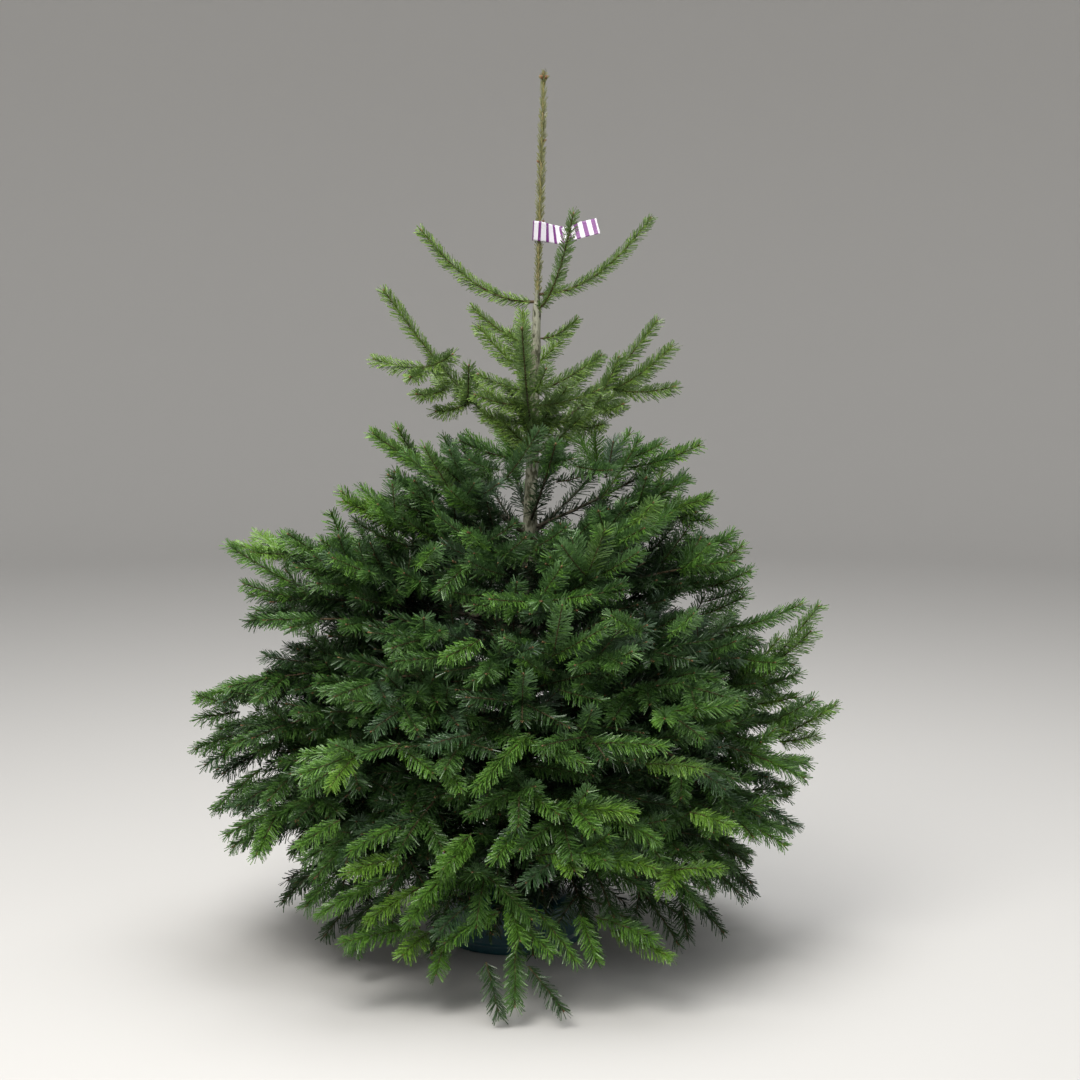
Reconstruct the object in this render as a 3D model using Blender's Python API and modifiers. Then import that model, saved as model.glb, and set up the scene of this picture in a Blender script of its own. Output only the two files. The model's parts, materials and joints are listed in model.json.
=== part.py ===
# A cut fir tree of about 1.9 m in a low round plastic stand.
# The trunk is one tapering, slightly leaning limb from its flat cut in the stand to the
# bud at its tip. Whorls of branches leave it. A strong branch is a bare bough and the
# foliage that its tip carries. A slight one is foliage from the trunk outwards.
# Metres, +Z up, the front of the tree towards -Y, the origin under the stand's middle.
import math
import random

import bmesh
import bpy
from mathutils import Matrix, Vector
from mathutils.bvhtree import BVHTree

SEED = 41
GAP = 0.0003
WELD = 0.00001
SHARP_ANGLE = math.radians(35)

BARK_COLOR = (0.30, 0.27, 0.23)
NEEDLE_COLOR = (0.06, 0.16, 0.04)
PLASTIC_COLOR = (0.02, 0.09, 0.11)
ZINC_COLOR = (0.6, 0.6, 0.58)

# Trunk: radius at the ground line, narrowing per metre, and the flare at its foot. Over
# the neck it narrows to the leader.
TREE_HEIGHT = 1.887
TRUNK_LEAN = 0.0352
TRUNK_SWAY = 0.004
TRUNK_CUT = 0.024
TRUNK_RADIUS = 0.0284
TRUNK_TAPER = 0.0145
FLARE = 0.004
FLARE_HEIGHT = 0.07
FLARE_RING = 0.0418
NECK = 0.0104
TRUNK_RINGS = 12
TRUNK_SIDES = 8

# Leader: the last year's growth, from the topmost whorl to the tip.
LEADER_FOOT = 1.402
LEADER_RADIUS = 0.0046
LEADER_TIP_RADIUS = 0.0028
LEADER_RINGS = 5

# Whorls from the top: the height of their roots, how far the middle of a branch lies
# above the straight line to its tip, and the branches as (azimuth, reach, tip height).
# Azimuth is in degrees from +X towards +Y.
WHORLS = {
    1: (1.395, -0.045, ((0, 0.245, 1.579), (180, 0.252, 1.554), (297, 0.170, 1.590))),
    2: (1.300, -0.015, ((4, 0.092, 1.364), (176, 0.140, 1.388))),
    3: (1.085, -0.030, ((2, 0.270, 1.360), (95, 0.270, 1.370), (180, 0.320, 1.425),
                        (262, 0.250, 1.355))),
    4: (0.906, -0.010, ((102, 0.330, 1.120), (178, 0.350, 1.116), (228, 0.310, 1.095),
                        (282, 0.270, 1.125), (346, 0.350, 1.092), (45, 0.330, 1.105))),
    5: (0.790, 0.000, ((2, 0.400, 0.975), (48, 0.460, 0.930), (108, 0.430, 0.980),
                       (196, 0.420, 0.985), (252, 0.400, 0.950), (305, 0.430, 0.955))),
    6: (0.660, 0.030, ((6, 0.625, 0.742), (62, 0.600, 0.790), (126, 0.600, 0.810),
                       (178, 0.650, 0.870), (274, 0.500, 0.822))),
    7: (0.530, 0.060, ((92, 0.640, 0.580), (186, 0.715, 0.545), (240, 0.610, 0.560),
                       (306, 0.630, 0.540), (356, 0.675, 0.522))),
    8: (0.400, 0.075, ((12, 0.630, 0.440), (56, 0.660, 0.420), (132, 0.670, 0.400),
                       (174, 0.695, 0.432), (270, 0.620, 0.388))),
    9: (0.285, 0.085, ((94, 0.640, 0.270), (207, 0.690, 0.300), (333, 0.640, 0.270))),
    10: (0.215, 0.105, ((18, 0.560, 0.110), (62, 0.560, 0.130), (156, 0.580, 0.120),
                        (226, 0.500, 0.052), (270, 0.655, 0.030), (318, 0.470, 0.055))),
}
# Neighbours in a whorl leave the trunk this much higher and lower than each other.
STAGGER = 0.016
FIRST_BOUGH_WHORL = 6
LAST_BOUGH_WHORL = 7

# A branch: its radius at the root from its reach, its radius where a bough hands over
# to foliage and at its tip, and the share of its length that a bough takes up.
BRANCH_RADIUS = 0.0035
BRANCH_RADIUS_PER_REACH = 0.0095
BRANCH_END = 0.0036
LENGTH_STEPS = 10
BOUGH_SHARE = 0.36
BOUGH_RINGS = 4
BOUGH_SIDES = 6
STEM_RINGS = 4
STEM_SIDES = 4
STEM_START = 0.02
STEM_END = 0.78
SHOOT_STEM_END = 0.30
LAST_SHOOT_WHORL = 2

# Sprays: flat toothed blades, whose teeth stand for shoots. Pairs of them leave a branch
# at an angle, the longer the further they are from its tip. Each pair is given as its
# share of the branch and its rise.
PAIRS = ((0.42, -0.18), (0.66, 0.12))
PAIR_ANGLE = math.radians(54)
PAIR_LENGTH = 0.80
SHARE_SPREAD = 0.02
ANGLE_SPREAD = (0.85, 1.12)
LENGTH_SPREAD = (0.88, 1.08)
RISE_SPREAD = 0.14
SPRAY_ROLL = 0.85
TERMINAL_SINK = 0.007
TERMINAL_ROLL = 0.4
ATTEMPTS = 12
ATTEMPT_SHRINK = 0.03
FEW_CROSSINGS = 6
WHORL_SEEDS = 100
SPRAY_THICKNESS = 0.0034
SPRAY_THICKNESS_SMALL = 0.0022
SMALL_SPRAY = 0.17
LONG_SPRAY = 0.28
SPRAY_WIDTH = 0.27
SPRAY_WIDEST = 0.078
SPRAY_CORE = 0.24
SPRAY_BARE = 0.13
SPRAY_ROOT = 0.0017
SPRAY_NECK = 0.0022
SPRAY_LAST_VALLEY = 0.88
SPRAY_NARROWING = 0.66
SPRAY_FOLD = 0.50
SPRAY_BEND = 0.12
SHOOT_WIDTH = 0.019
SHOOT_TEETH = 5
TOOTH_SWEEP = 0.85
TEST_MARGIN = 0.0016
LOWEST_FOLIAGE = 0.012

# Stand: a closed low round body with a collar that the trunk goes down into, and three
# clamping screws through the collar. Each edge of its profile has a radius and a height.
COLLAR_BORE = 0.051
BORE_FLOOR = TRUNK_CUT - GAP
COLLAR_RADIUS = 0.064
COLLAR_HEIGHT = 0.168
COLLAR_FLARE_HEIGHT = 0.124
DECK_INNER_RADIUS = 0.078
DECK_INNER_HEIGHT = 0.112
DECK_OUTER_RADIUS = 0.120
DECK_OUTER_HEIGHT = 0.106
SHOULDER_RADIUS = 0.138
SHOULDER_HEIGHT = 0.094
WALL_RADIUS = 0.143
WALL_HEIGHT = 0.0564
STAND_RADIUS = 0.146
FOOT_BEVEL = 0.006
STAND_STEPS = 22
TURNED_WELD = 0.0001
SCREW_COUNT = 3
SCREW_HEIGHT = 0.145
SCREW_RADIUS = 0.0055
SCREW_OUT = 0.096
SCREW_BITE = 0.003
KNOB_RADIUS = 0.014
KNOB_END_RADIUS = 0.0126
KNOB_THICKNESS = 0.012
KNOB_MIDDLE = 0.095
SCREW_SIDES = 8
SCREW_TURN = math.radians(30)

UP = Vector((0, 0, 1))


def clear_scene():
    for item in list(bpy.data.objects):
        bpy.data.objects.remove(item, do_unlink=True)


def make_collection(name):
    collection = bpy.data.collections.new(name)
    bpy.context.scene.collection.children.link(collection)
    return collection


def make_material(name, color, roughness, metallic=0.0):
    material = bpy.data.materials.new(name)
    material.use_nodes = True
    shader = material.node_tree.nodes["Principled BSDF"]
    shader.inputs["Base Color"].default_value = (*color, 1)
    shader.inputs["Roughness"].default_value = roughness
    shader.inputs["Metallic"].default_value = metallic
    return material


def add_object(name, mesh, collection, material):
    item = bpy.data.objects.new(name, mesh)
    collection.objects.link(item)
    mesh.materials.clear()
    mesh.materials.append(material)
    return item


def evaluated_mesh(item):
    bpy.context.view_layer.update()
    graph = bpy.context.evaluated_depsgraph_get()
    return bpy.data.meshes.new_from_object(item.evaluated_get(graph))


def tree_of(mesh):
    return BVHTree.FromPolygons(
        [vertex.co.copy() for vertex in mesh.vertices],
        [tuple(polygon.vertices) for polygon in mesh.polygons],
    )


def tube_mesh(name, points, radii, sides):
    # A tapering tube along the points, with its end caps welded on.
    curve = bpy.data.curves.new(name, "CURVE")
    curve.dimensions = "3D"
    curve.bevel_depth = 1.0
    curve.bevel_resolution = (sides - 4) // 2
    curve.use_fill_caps = True
    spline = curve.splines.new("POLY")
    spline.points.add(len(points) - 1)
    for target, point, radius in zip(spline.points, points, radii):
        target.co = (*point, 1)
        target.radius = radius
    guide = bpy.data.objects.new(name, curve)
    bpy.context.scene.collection.objects.link(guide)
    mesh = evaluated_mesh(guide)
    bpy.data.objects.remove(guide)
    bpy.data.curves.remove(curve)
    shape = bmesh.new()
    shape.from_mesh(mesh)
    bmesh.ops.remove_doubles(shape, verts=shape.verts, dist=WELD)
    bmesh.ops.recalc_face_normals(shape, faces=shape.faces)
    shape.to_mesh(mesh)
    shape.free()
    return mesh


def cut_by(item, cutter):
    # Takes the cutter's shape out of the object, and keeps the result as its mesh.
    cut = item.modifiers.new("clearance", "BOOLEAN")
    cut.operation = "DIFFERENCE"
    cut.solver = "EXACT"
    cut.object = cutter
    apply_modifiers(item)


def apply_modifiers(item):
    mesh = evaluated_mesh(item)
    item.modifiers.clear()
    old = item.data
    item.data = mesh
    bpy.data.meshes.remove(old)


def is_closed(mesh):
    shape = bmesh.new()
    shape.from_mesh(mesh)
    closed = all(edge.is_manifold for edge in shape.edges)
    shape.free()
    return closed


def keep_largest_part(item):
    # Takes out edges of no length, and any loose scrap that a join or a cut has left.
    shape = bmesh.new()
    shape.from_mesh(item.data)
    bmesh.ops.triangulate(shape, faces=shape.faces)
    bmesh.ops.dissolve_degenerate(shape, dist=WELD, edges=shape.edges)
    parts = []
    waiting = set(shape.verts)
    while waiting:
        part = set()
        edge = [waiting.pop()]
        while edge:
            vertex = edge.pop()
            part.add(vertex)
            for link in vertex.link_edges:
                other = link.other_vert(vertex)
                if other in waiting:
                    waiting.remove(other)
                    edge.append(other)
        parts.append(part)
    parts.sort(key=len)
    for part in parts[:-1]:
        bmesh.ops.delete(shape, geom=list(part), context="VERTS")
    shape.to_mesh(item.data)
    shape.free()


def trunk_point(height):
    sway = TRUNK_SWAY * math.sin(math.pi * height / TREE_HEIGHT)
    return Vector((TRUNK_LEAN * height + sway, 0, height))


def trunk_radius(height):
    if height < LEADER_FOOT:
        return TRUNK_RADIUS - TRUNK_TAPER * height + FLARE * math.exp(-height / FLARE_HEIGHT)
    share = (height - LEADER_FOOT) / (TREE_HEIGHT - LEADER_FOOT)
    return LEADER_RADIUS + share * (LEADER_TIP_RADIUS - LEADER_RADIUS)


def trunk_tube(name, extra):
    # The trunk's shape, or with extra a wider one that keeps other pieces clear of it.
    step = (LEADER_FOOT - TRUNK_CUT) / (TRUNK_RINGS - 1)
    heights = [TRUNK_CUT + step * ring for ring in range(TRUNK_RINGS - 1)]
    heights.insert(1, TRUNK_CUT + FLARE_RING)
    heights.append(LEADER_FOOT - NECK)
    step = (TREE_HEIGHT - LEADER_FOOT) / LEADER_RINGS
    heights += [LEADER_FOOT + step * ring for ring in range(LEADER_RINGS + 1)]
    points = [trunk_point(height) for height in heights]
    # The foot stands upright, so that the cut lies flat in the stand.
    points[1].x = points[0].x
    radii = [trunk_radius(height) + extra for height in heights]
    return tube_mesh(name, points, radii, TRUNK_SIDES)


class Branch:
    # One branch of a whorl: a curve from the trunk's axis to the tip.
    def __init__(self, whorl, number, azimuth, reach, tip_height):
        root_height, lift, _ = WHORLS[whorl]
        self.name = f"{whorl}_{number}"
        self.whorl = whorl
        self.seed = SEED + WHORL_SEEDS * whorl + number
        self.root = trunk_point(root_height + STAGGER * (number * 2 % 3 - 1))
        turn = math.radians(azimuth)
        out = Vector((math.cos(turn), math.sin(turn), 0))
        self.tip = self.root + out * reach
        self.tip.z = tip_height
        self.middle = (self.root + self.tip) / 2 + UP * 2 * lift
        stops = [self.at(step / LENGTH_STEPS) for step in range(LENGTH_STEPS + 1)]
        self.length = sum((after - before).length for before, after in zip(stops, stops[1:]))
        self.radius = BRANCH_RADIUS + BRANCH_RADIUS_PER_REACH * reach

    def at(self, share):
        rest = 1 - share
        return self.root * rest**2 + self.middle * 2 * share * rest + self.tip * share**2

    def axes(self, share):
        # Along the branch, to its left and upwards from it.
        along = (self.middle - self.root) * (1 - share) + (self.tip - self.middle) * share
        along.normalize()
        side = UP.cross(along).normalized()
        return along, side, along.cross(side)

    def radius_at(self, share):
        return self.radius + (BRANCH_END - self.radius) * min(share / STEM_END, 1)


def make_branches():
    return [
        Branch(whorl, number, *limb)
        for whorl, (_, _, limbs) in WHORLS.items()
        for number, limb in enumerate(limbs, 1)
    ]


def has_bough(branch):
    return FIRST_BOUGH_WHORL <= branch.whorl <= LAST_BOUGH_WHORL


def spray_mesh(length, width, teeth, thickness):
    # A toothed blade along +X from the origin, folded down along its middle.
    shape = bmesh.new()
    first = length * SPRAY_BARE
    pitch = (length * SPRAY_LAST_VALLEY - first) / teeth
    side = [(0, SPRAY_ROOT), (first, SPRAY_NECK)]
    for tooth in range(teeth):
        half = width * (1 - SPRAY_NARROWING * tooth / teeth)
        start = first + pitch * tooth
        side.append((start + half * TOOTH_SWEEP, half))
        side.append((start + pitch, half * SPRAY_CORE))
    outline = [*side, (length, 0), *[(x, -y) for x, y in reversed(side)]]
    corners = [shape.verts.new((x, y, -thickness / 2)) for x, y in outline]
    shape.faces.new(corners)
    geometry = shape.verts[:] + shape.edges[:] + shape.faces[:]
    bmesh.ops.bisect_plane(shape, geom=geometry, plane_co=(0, 0, 0), plane_no=(0, 1, 0))
    bmesh.ops.triangulate(shape, faces=shape.faces)
    lifted = bmesh.ops.extrude_face_region(shape, geom=list(shape.faces))["geom"]
    for part in lifted:
        if isinstance(part, bmesh.types.BMVert):
            part.co.z += thickness
    # The teeth and the end are drawn out to points.
    tips = [Vector(place) for place in [*side[2::2], (length, 0)]]
    for vertex in shape.verts:
        place = Vector((vertex.co.x, abs(vertex.co.y)))
        if any((place - tip).length < WELD for tip in tips):
            vertex.co.z = 0
    bmesh.ops.remove_doubles(shape, verts=shape.verts, dist=WELD)
    for vertex in shape.verts:
        vertex.co.z -= abs(vertex.co.y) * SPRAY_FOLD
    bmesh.ops.recalc_face_normals(shape, faces=shape.faces)
    mesh = bpy.data.meshes.new("spray")
    shape.to_mesh(mesh)
    shape.free()
    return mesh


def teeth_for(length):
    return 2 if length < SMALL_SPRAY else 3 if length < LONG_SPRAY else 4


def spray_at(root, reach, bend, above, width, teeth, extra=0.0):
    # A spray from the root along reach, its far end moved on by the bend.
    length = reach.length
    thickness = SPRAY_THICKNESS_SMALL if length < SMALL_SPRAY else SPRAY_THICKNESS
    mesh = spray_mesh(length, width + extra, teeth, thickness + extra)
    along = reach.normalized()
    side = above.cross(along).normalized()
    top = along.cross(side)
    for vertex in mesh.vertices:
        x, y, z = vertex.co
        vertex.co = root + along * x + side * y + top * z + bend * (x / length) ** 2
    return mesh


def is_clear(mesh, kept_clear):
    if min(vertex.co.z for vertex in mesh.vertices) < LOWEST_FOLIAGE:
        return False
    probe = tree_of(mesh)
    return not any(probe.overlap(other) for other in kept_clear)


def is_shoot(branch):
    return branch.whorl <= LAST_SHOOT_WHORL


def stem_end(branch):
    return SHOOT_STEM_END if is_shoot(branch) else STEM_END


def terminal_spray(branch, rng):
    # The spray that ends a branch follows its curve from the stem's end to the tip.
    start = stem_end(branch) - TERMINAL_SINK / branch.length
    rest = 1 - start
    speed = (branch.middle - branch.root) * 2 * (1 - start)
    speed += (branch.tip - branch.middle) * 2 * start
    bend = (branch.root - branch.middle * 2 + branch.tip) * rest**2
    reach = speed * rest
    _, _, above = branch.axes(start)
    top = Matrix.Rotation(rng.uniform(-TERMINAL_ROLL, TERMINAL_ROLL), 3, reach) @ above
    if is_shoot(branch):
        return branch.at(start), reach, bend, top, SHOOT_WIDTH, SHOOT_TEETH
    width = min(reach.length * SPRAY_WIDTH, SPRAY_WIDEST)
    return branch.at(start), reach, bend, top, width, teeth_for(reach.length)


def side_sprays(branch, rng):
    # (share of the branch, side, length, rise) of each spray along a branch.
    if is_shoot(branch):
        return
    for share, rise in PAIRS:
        for side in (1, -1):
            place = share + rng.uniform(-SHARE_SPREAD, SHARE_SPREAD)
            length = PAIR_LENGTH * branch.length * (1 - place) * rng.uniform(*LENGTH_SPREAD)
            yield place, side, length, rise


def side_spray(branch, share, side_sign, length, rise, rng):
    along, side, above = branch.axes(share)
    angle = PAIR_ANGLE * side_sign * rng.uniform(*ANGLE_SPREAD)
    direction = along * math.cos(angle) + side * math.sin(angle) + above * rise
    direction.normalize()
    top = Matrix.Rotation(rng.uniform(-SPRAY_ROLL, SPRAY_ROLL), 3, direction) @ above
    width = min(length * SPRAY_WIDTH, SPRAY_WIDEST)
    bend = -UP * SPRAY_BEND * length
    return branch.at(share), direction * length, bend, top, width, teeth_for(length)


def grow_sprays(branch, rng, kept_clear):
    # Tries each spray at its own angle, then at nearby ones and shorter. It keeps the one
    # that crosses its neighbours in the mass least, and skips a spray that would touch
    # what already stands.
    terminal = terminal_spray(branch, rng)
    probe = spray_at(*terminal)
    sprays = [probe]
    grown = [tree_of(probe)]
    for share, side_sign, length, lift in side_sprays(branch, rng):
        best = None
        for attempt in range(ATTEMPTS):
            size = length * (1 - ATTEMPT_SHRINK * attempt)
            rise = lift + rng.uniform(-RISE_SPREAD, RISE_SPREAD)
            spray = side_spray(branch, share, side_sign, size, rise, rng)
            probe = spray_at(*spray, TEST_MARGIN)
            if is_clear(probe, kept_clear):
                shape = tree_of(probe)
                crossings = sum(len(shape.overlap(other)) for other in grown)
                if best is None or crossings < best[0]:
                    best = (crossings, spray, shape)
            bpy.data.meshes.remove(probe)
            if best and best[0] <= FEW_CROSSINGS:
                break
        if best:
            sprays.append(spray_at(*best[1]))
            grown.append(best[2])
    return sprays


def join_mesh(stem, holder, solver):
    # The union of the stem with everything in the holder.
    item = bpy.data.objects.new("join", stem)
    bpy.context.scene.collection.objects.link(item)
    join = item.modifiers.new("sprays", "BOOLEAN")
    join.operation = "UNION"
    join.solver = solver
    join.operand_type = "COLLECTION"
    join.collection = holder
    mesh = evaluated_mesh(item)
    bpy.data.objects.remove(item)
    return mesh


def fuse(name, stem, sprays, collection, material):
    # One union of the stem with all its sprays. The second solver is for a mass that the
    # first one leaves open.
    holder = bpy.data.collections.new("sprays")
    bpy.context.scene.collection.children.link(holder)
    for number, mesh in enumerate(sprays):
        holder.objects.link(bpy.data.objects.new(f"spray_{number}", mesh))
    mesh = join_mesh(stem, holder, "EXACT")
    if not is_closed(mesh):
        mesh = join_mesh(stem, holder, "MANIFOLD")
    for helper in list(holder.objects):
        used = helper.data
        bpy.data.objects.remove(helper)
        bpy.data.meshes.remove(used)
    bpy.data.collections.remove(holder)
    bpy.data.meshes.remove(stem)
    mesh.name = name
    return add_object(name, mesh, collection, material)


def limb_line(branch, start, end, rings):
    # Points along a stretch of the branch, and its radius at each.
    shares = [start + (end - start) * ring / (rings - 1) for ring in range(rings)]
    return [branch.at(share) for share in shares], [branch.radius_at(share) for share in shares]


def make_trunk(collection, material):
    return add_object("trunk", trunk_tube("trunk", 0), collection, material)


def make_cutter(collection, material):
    cutter = add_object("trunk_clearance", trunk_tube("trunk_clearance", GAP), collection, material)
    cutter.hide_render = True
    cutter.display_type = "WIRE"
    return cutter


def make_bough(branch, cutter, collection, material):
    name = f"bough_{branch.name}"
    points, radii = limb_line(branch, 0, BOUGH_SHARE, BOUGH_RINGS)
    item = add_object(name, tube_mesh(name, points, radii, BOUGH_SIDES), collection, material)
    cut_by(item, cutter)
    keep_largest_part(item)
    return item


def stem_of(branch):
    # The stem in the foliage. On a bough's tip it starts a gap further along the same line.
    start = BOUGH_SHARE if has_bough(branch) else 0
    points, radii = limb_line(branch, start, stem_end(branch), STEM_RINGS)
    if start:
        before = branch.at(BOUGH_SHARE * (BOUGH_RINGS - 2) / (BOUGH_RINGS - 1))
        line = (points[0] - before).normalized()
        points[0] = points[0] + line * GAP
        points.insert(1, points[0] + line * STEM_START)
        radii.insert(1, radii[0])
    return tube_mesh(f"foliage_{branch.name}", points, radii, STEM_SIDES)


def make_foliage(branch, rng, kept_clear, cutter, collection, material):
    name = f"foliage_{branch.name}"
    sprays = grow_sprays(branch, rng, kept_clear)
    item = fuse(name, stem_of(branch), sprays, collection, material)
    if not has_bough(branch):
        cut_by(item, cutter)
    keep_largest_part(item)
    return item


def make_stand(collection, cutters, material):
    # A turned body: down its outer side, in along the underside, and up inside the bore.
    profile = [
        (COLLAR_BORE, COLLAR_HEIGHT),
        (COLLAR_RADIUS, COLLAR_HEIGHT),
        (COLLAR_RADIUS, COLLAR_FLARE_HEIGHT),
        (DECK_INNER_RADIUS, DECK_INNER_HEIGHT),
        (DECK_OUTER_RADIUS, DECK_OUTER_HEIGHT),
        (SHOULDER_RADIUS, SHOULDER_HEIGHT),
        (WALL_RADIUS, WALL_HEIGHT),
        (STAND_RADIUS, FOOT_BEVEL),
        (STAND_RADIUS - FOOT_BEVEL, 0),
        (0, 0),
    ]
    mesh = bpy.data.meshes.new("stand")
    points = [(radius, 0, height) for radius, height in profile]
    points += [(0, 0, BORE_FLOOR), (COLLAR_BORE, 0, BORE_FLOOR)]
    ring = len(points)
    edges = [(i, i + 1) for i in range(ring - 1) if i != len(profile) - 1]
    edges.append((ring - 1, 0))
    mesh.from_pydata(points, edges, [])
    item = add_object("stand", mesh, collection, material)
    screw = item.modifiers.new("turned", "SCREW")
    screw.steps = screw.render_steps = STAND_STEPS
    screw.use_merge_vertices = True
    screw.merge_threshold = TURNED_WELD
    for number in range(SCREW_COUNT):
        hole = screw_rod(f"screw_hole_{number}", number, SCREW_RADIUS + GAP, cutters, material)
        hole.hide_render = True
        hole.display_type = "WIRE"
        cut = item.modifiers.new(f"screw_hole_{number}", "BOOLEAN")
        cut.operation = "DIFFERENCE"
        cut.solver = "EXACT"
        cut.object = hole
    return item


def screw_place(number):
    turn = 2 * math.pi * number / SCREW_COUNT + SCREW_TURN
    return Matrix.Translation((trunk_point(SCREW_HEIGHT).x, 0, SCREW_HEIGHT)) @ (
        Matrix.Rotation(turn, 4, "Z") @ Matrix.Rotation(math.pi / 2, 4, "Y")
    )


def screw_rod(name, number, radius, collection, material):
    # A rod from the bark, where its clearance is cut, out to the knob.
    start = trunk_radius(SCREW_HEIGHT) - SCREW_BITE
    shape = bmesh.new()
    bmesh.ops.create_cone(
        shape, cap_ends=True, segments=SCREW_SIDES, radius1=radius, radius2=radius,
        depth=SCREW_OUT - start,
    )
    bmesh.ops.translate(shape, verts=shape.verts, vec=(0, 0, (SCREW_OUT + start) / 2))
    mesh = bpy.data.meshes.new(name)
    shape.to_mesh(mesh)
    shape.free()
    mesh.transform(screw_place(number))
    return add_object(name, mesh, collection, material)


def make_screw(number, cutter, collection, material):
    name = f"clamp_screw_{number + 1}"
    item = screw_rod(name, number, SCREW_RADIUS, collection, material)
    cut_by(item, cutter)
    shape = bmesh.new()
    bmesh.ops.create_cone(
        shape, cap_ends=True, segments=SCREW_SIDES, radius1=KNOB_RADIUS,
        radius2=KNOB_END_RADIUS, depth=KNOB_THICKNESS,
    )
    bmesh.ops.translate(shape, verts=shape.verts, vec=(0, 0, KNOB_MIDDLE))
    mesh = bpy.data.meshes.new("knob")
    shape.to_mesh(mesh)
    shape.free()
    mesh.transform(screw_place(number))
    return fuse_knob(item, mesh, material)


def fuse_knob(item, knob, material):
    helper = bpy.data.objects.new("knob", knob)
    bpy.context.scene.collection.objects.link(helper)
    join = item.modifiers.new("knob", "BOOLEAN")
    join.operation = "UNION"
    join.solver = "EXACT"
    join.object = helper
    apply_modifiers(item)
    bpy.data.objects.remove(helper)
    item.data.materials.clear()
    item.data.materials.append(material)
    return item


def main():
    clear_scene()
    parts = make_collection("fir_tree_in_stand")
    cutters = make_collection("cutters")
    bark = make_material("bark", BARK_COLOR, 0.85)
    needles = make_material("needles", NEEDLE_COLOR, 0.6)
    plastic = make_material("stand_plastic", PLASTIC_COLOR, 0.45)
    zinc = make_material("zinc_screws", ZINC_COLOR, 0.35, metallic=1.0)

    make_trunk(parts, bark)
    cutter = make_cutter(cutters, bark)
    stand = make_stand(parts, cutters, plastic)
    screws = [make_screw(number, cutter, parts, zinc) for number in range(SCREW_COUNT)]
    branches = make_branches()
    boughs = [make_bough(b, cutter, parts, bark) for b in branches if has_bough(b)]

    stand_shape = evaluated_mesh(stand)
    kept_clear = [tree_of(cutter.data), tree_of(stand_shape)]
    kept_clear += [tree_of(item.data) for item in screws + boughs]
    stems = {branch.name: stem_of(branch) for branch in branches}
    stem_trees = {name: tree_of(mesh) for name, mesh in stems.items()}
    for branch in reversed(branches):
        rng = random.Random(branch.seed)
        others = [shape for name, shape in stem_trees.items() if name != branch.name]
        item = make_foliage(branch, rng, kept_clear + others, cutter, parts, needles)
        kept_clear.append(tree_of(item.data))
    for item in parts.objects:
        item.data.shade_smooth()
        item.data.set_sharp_from_angle(angle=SHARP_ANGLE)


main()
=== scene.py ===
import bpy
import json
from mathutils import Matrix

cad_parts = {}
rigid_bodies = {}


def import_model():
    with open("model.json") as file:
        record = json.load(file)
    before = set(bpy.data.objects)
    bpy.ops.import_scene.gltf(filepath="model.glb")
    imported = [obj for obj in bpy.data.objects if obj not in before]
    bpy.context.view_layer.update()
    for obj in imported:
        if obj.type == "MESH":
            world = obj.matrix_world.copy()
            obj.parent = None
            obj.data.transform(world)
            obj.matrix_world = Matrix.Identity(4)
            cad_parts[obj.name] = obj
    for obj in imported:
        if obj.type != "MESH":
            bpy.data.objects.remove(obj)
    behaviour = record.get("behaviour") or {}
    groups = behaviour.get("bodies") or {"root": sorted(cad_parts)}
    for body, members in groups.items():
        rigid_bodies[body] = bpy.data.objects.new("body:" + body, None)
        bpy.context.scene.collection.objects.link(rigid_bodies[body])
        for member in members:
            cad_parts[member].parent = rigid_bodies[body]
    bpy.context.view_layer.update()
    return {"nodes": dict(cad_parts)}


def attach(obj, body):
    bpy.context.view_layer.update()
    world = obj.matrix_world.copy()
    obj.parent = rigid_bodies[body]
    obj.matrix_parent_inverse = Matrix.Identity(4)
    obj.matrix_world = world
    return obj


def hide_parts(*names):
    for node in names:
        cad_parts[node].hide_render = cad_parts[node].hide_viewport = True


for item in list(bpy.data.objects):
    bpy.data.objects.remove(item, do_unlink=True)
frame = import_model()

import json
import math
import random

import bmesh
import numpy as np
from mathutils import Matrix, Vector

up = Vector((0, 0, 1))


# camera: the photograph's view, from the front and a little above
camera = {"place": (0.058, -5.44, 1.56), "pitch": 7.1, "lens": 84.57, "sensor": 36}


def makeCamera(settings):
    view = bpy.data.objects.new("camera", bpy.data.cameras.new("camera"))
    view.location = settings["place"]
    view.rotation_euler = (math.radians(90 - settings["pitch"]), 0, 0)
    view.data.lens = settings["lens"]
    view.data.sensor_width = settings["sensor"]
    bpy.context.scene.collection.objects.link(view)
    bpy.context.scene.camera = view


def pictured(column, row, front):
    # what the camera sees at a place in the 1080 picture, this far in front of the trunk
    focal = camera["lens"] / camera["sensor"] * 1080
    tip, rise = math.radians(camera["pitch"]), (540 - row) / focal
    ray = Vector(((column - 540) / focal, math.cos(tip) + rise * math.sin(tip), rise * math.cos(tip) - math.sin(tip)))
    eye = Vector(camera["place"])
    return eye + ray * ((-front - eye.y) / ray.y)


makeCamera(camera)
bpy.context.scene.view_settings.view_transform = "Standard"


# node helpers, shared by the geometry trees and the materials
def addNode(tree, kind, values=None, **settings):
    made = tree.nodes.new(kind)
    for name, value in settings.items():
        setattr(made, name, value)
    for socket, value in (values or {}).items():
        if isinstance(value, bpy.types.NodeSocket):
            tree.links.new(value, made.inputs[socket])
        else:
            made.inputs[socket].default_value = value
    return made


def maths(tree, operation, first, second=0.0, third=0.0):
    made = addNode(tree, "ShaderNodeMath", {0: first, 1: second, 2: third}, operation=operation)
    return made.outputs[0]


def vectorMaths(tree, operation, first, second=(0, 0, 0)):
    made = addNode(tree, "ShaderNodeVectorMath", {0: first, 1: second}, operation=operation)
    return made.outputs[0]


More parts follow.
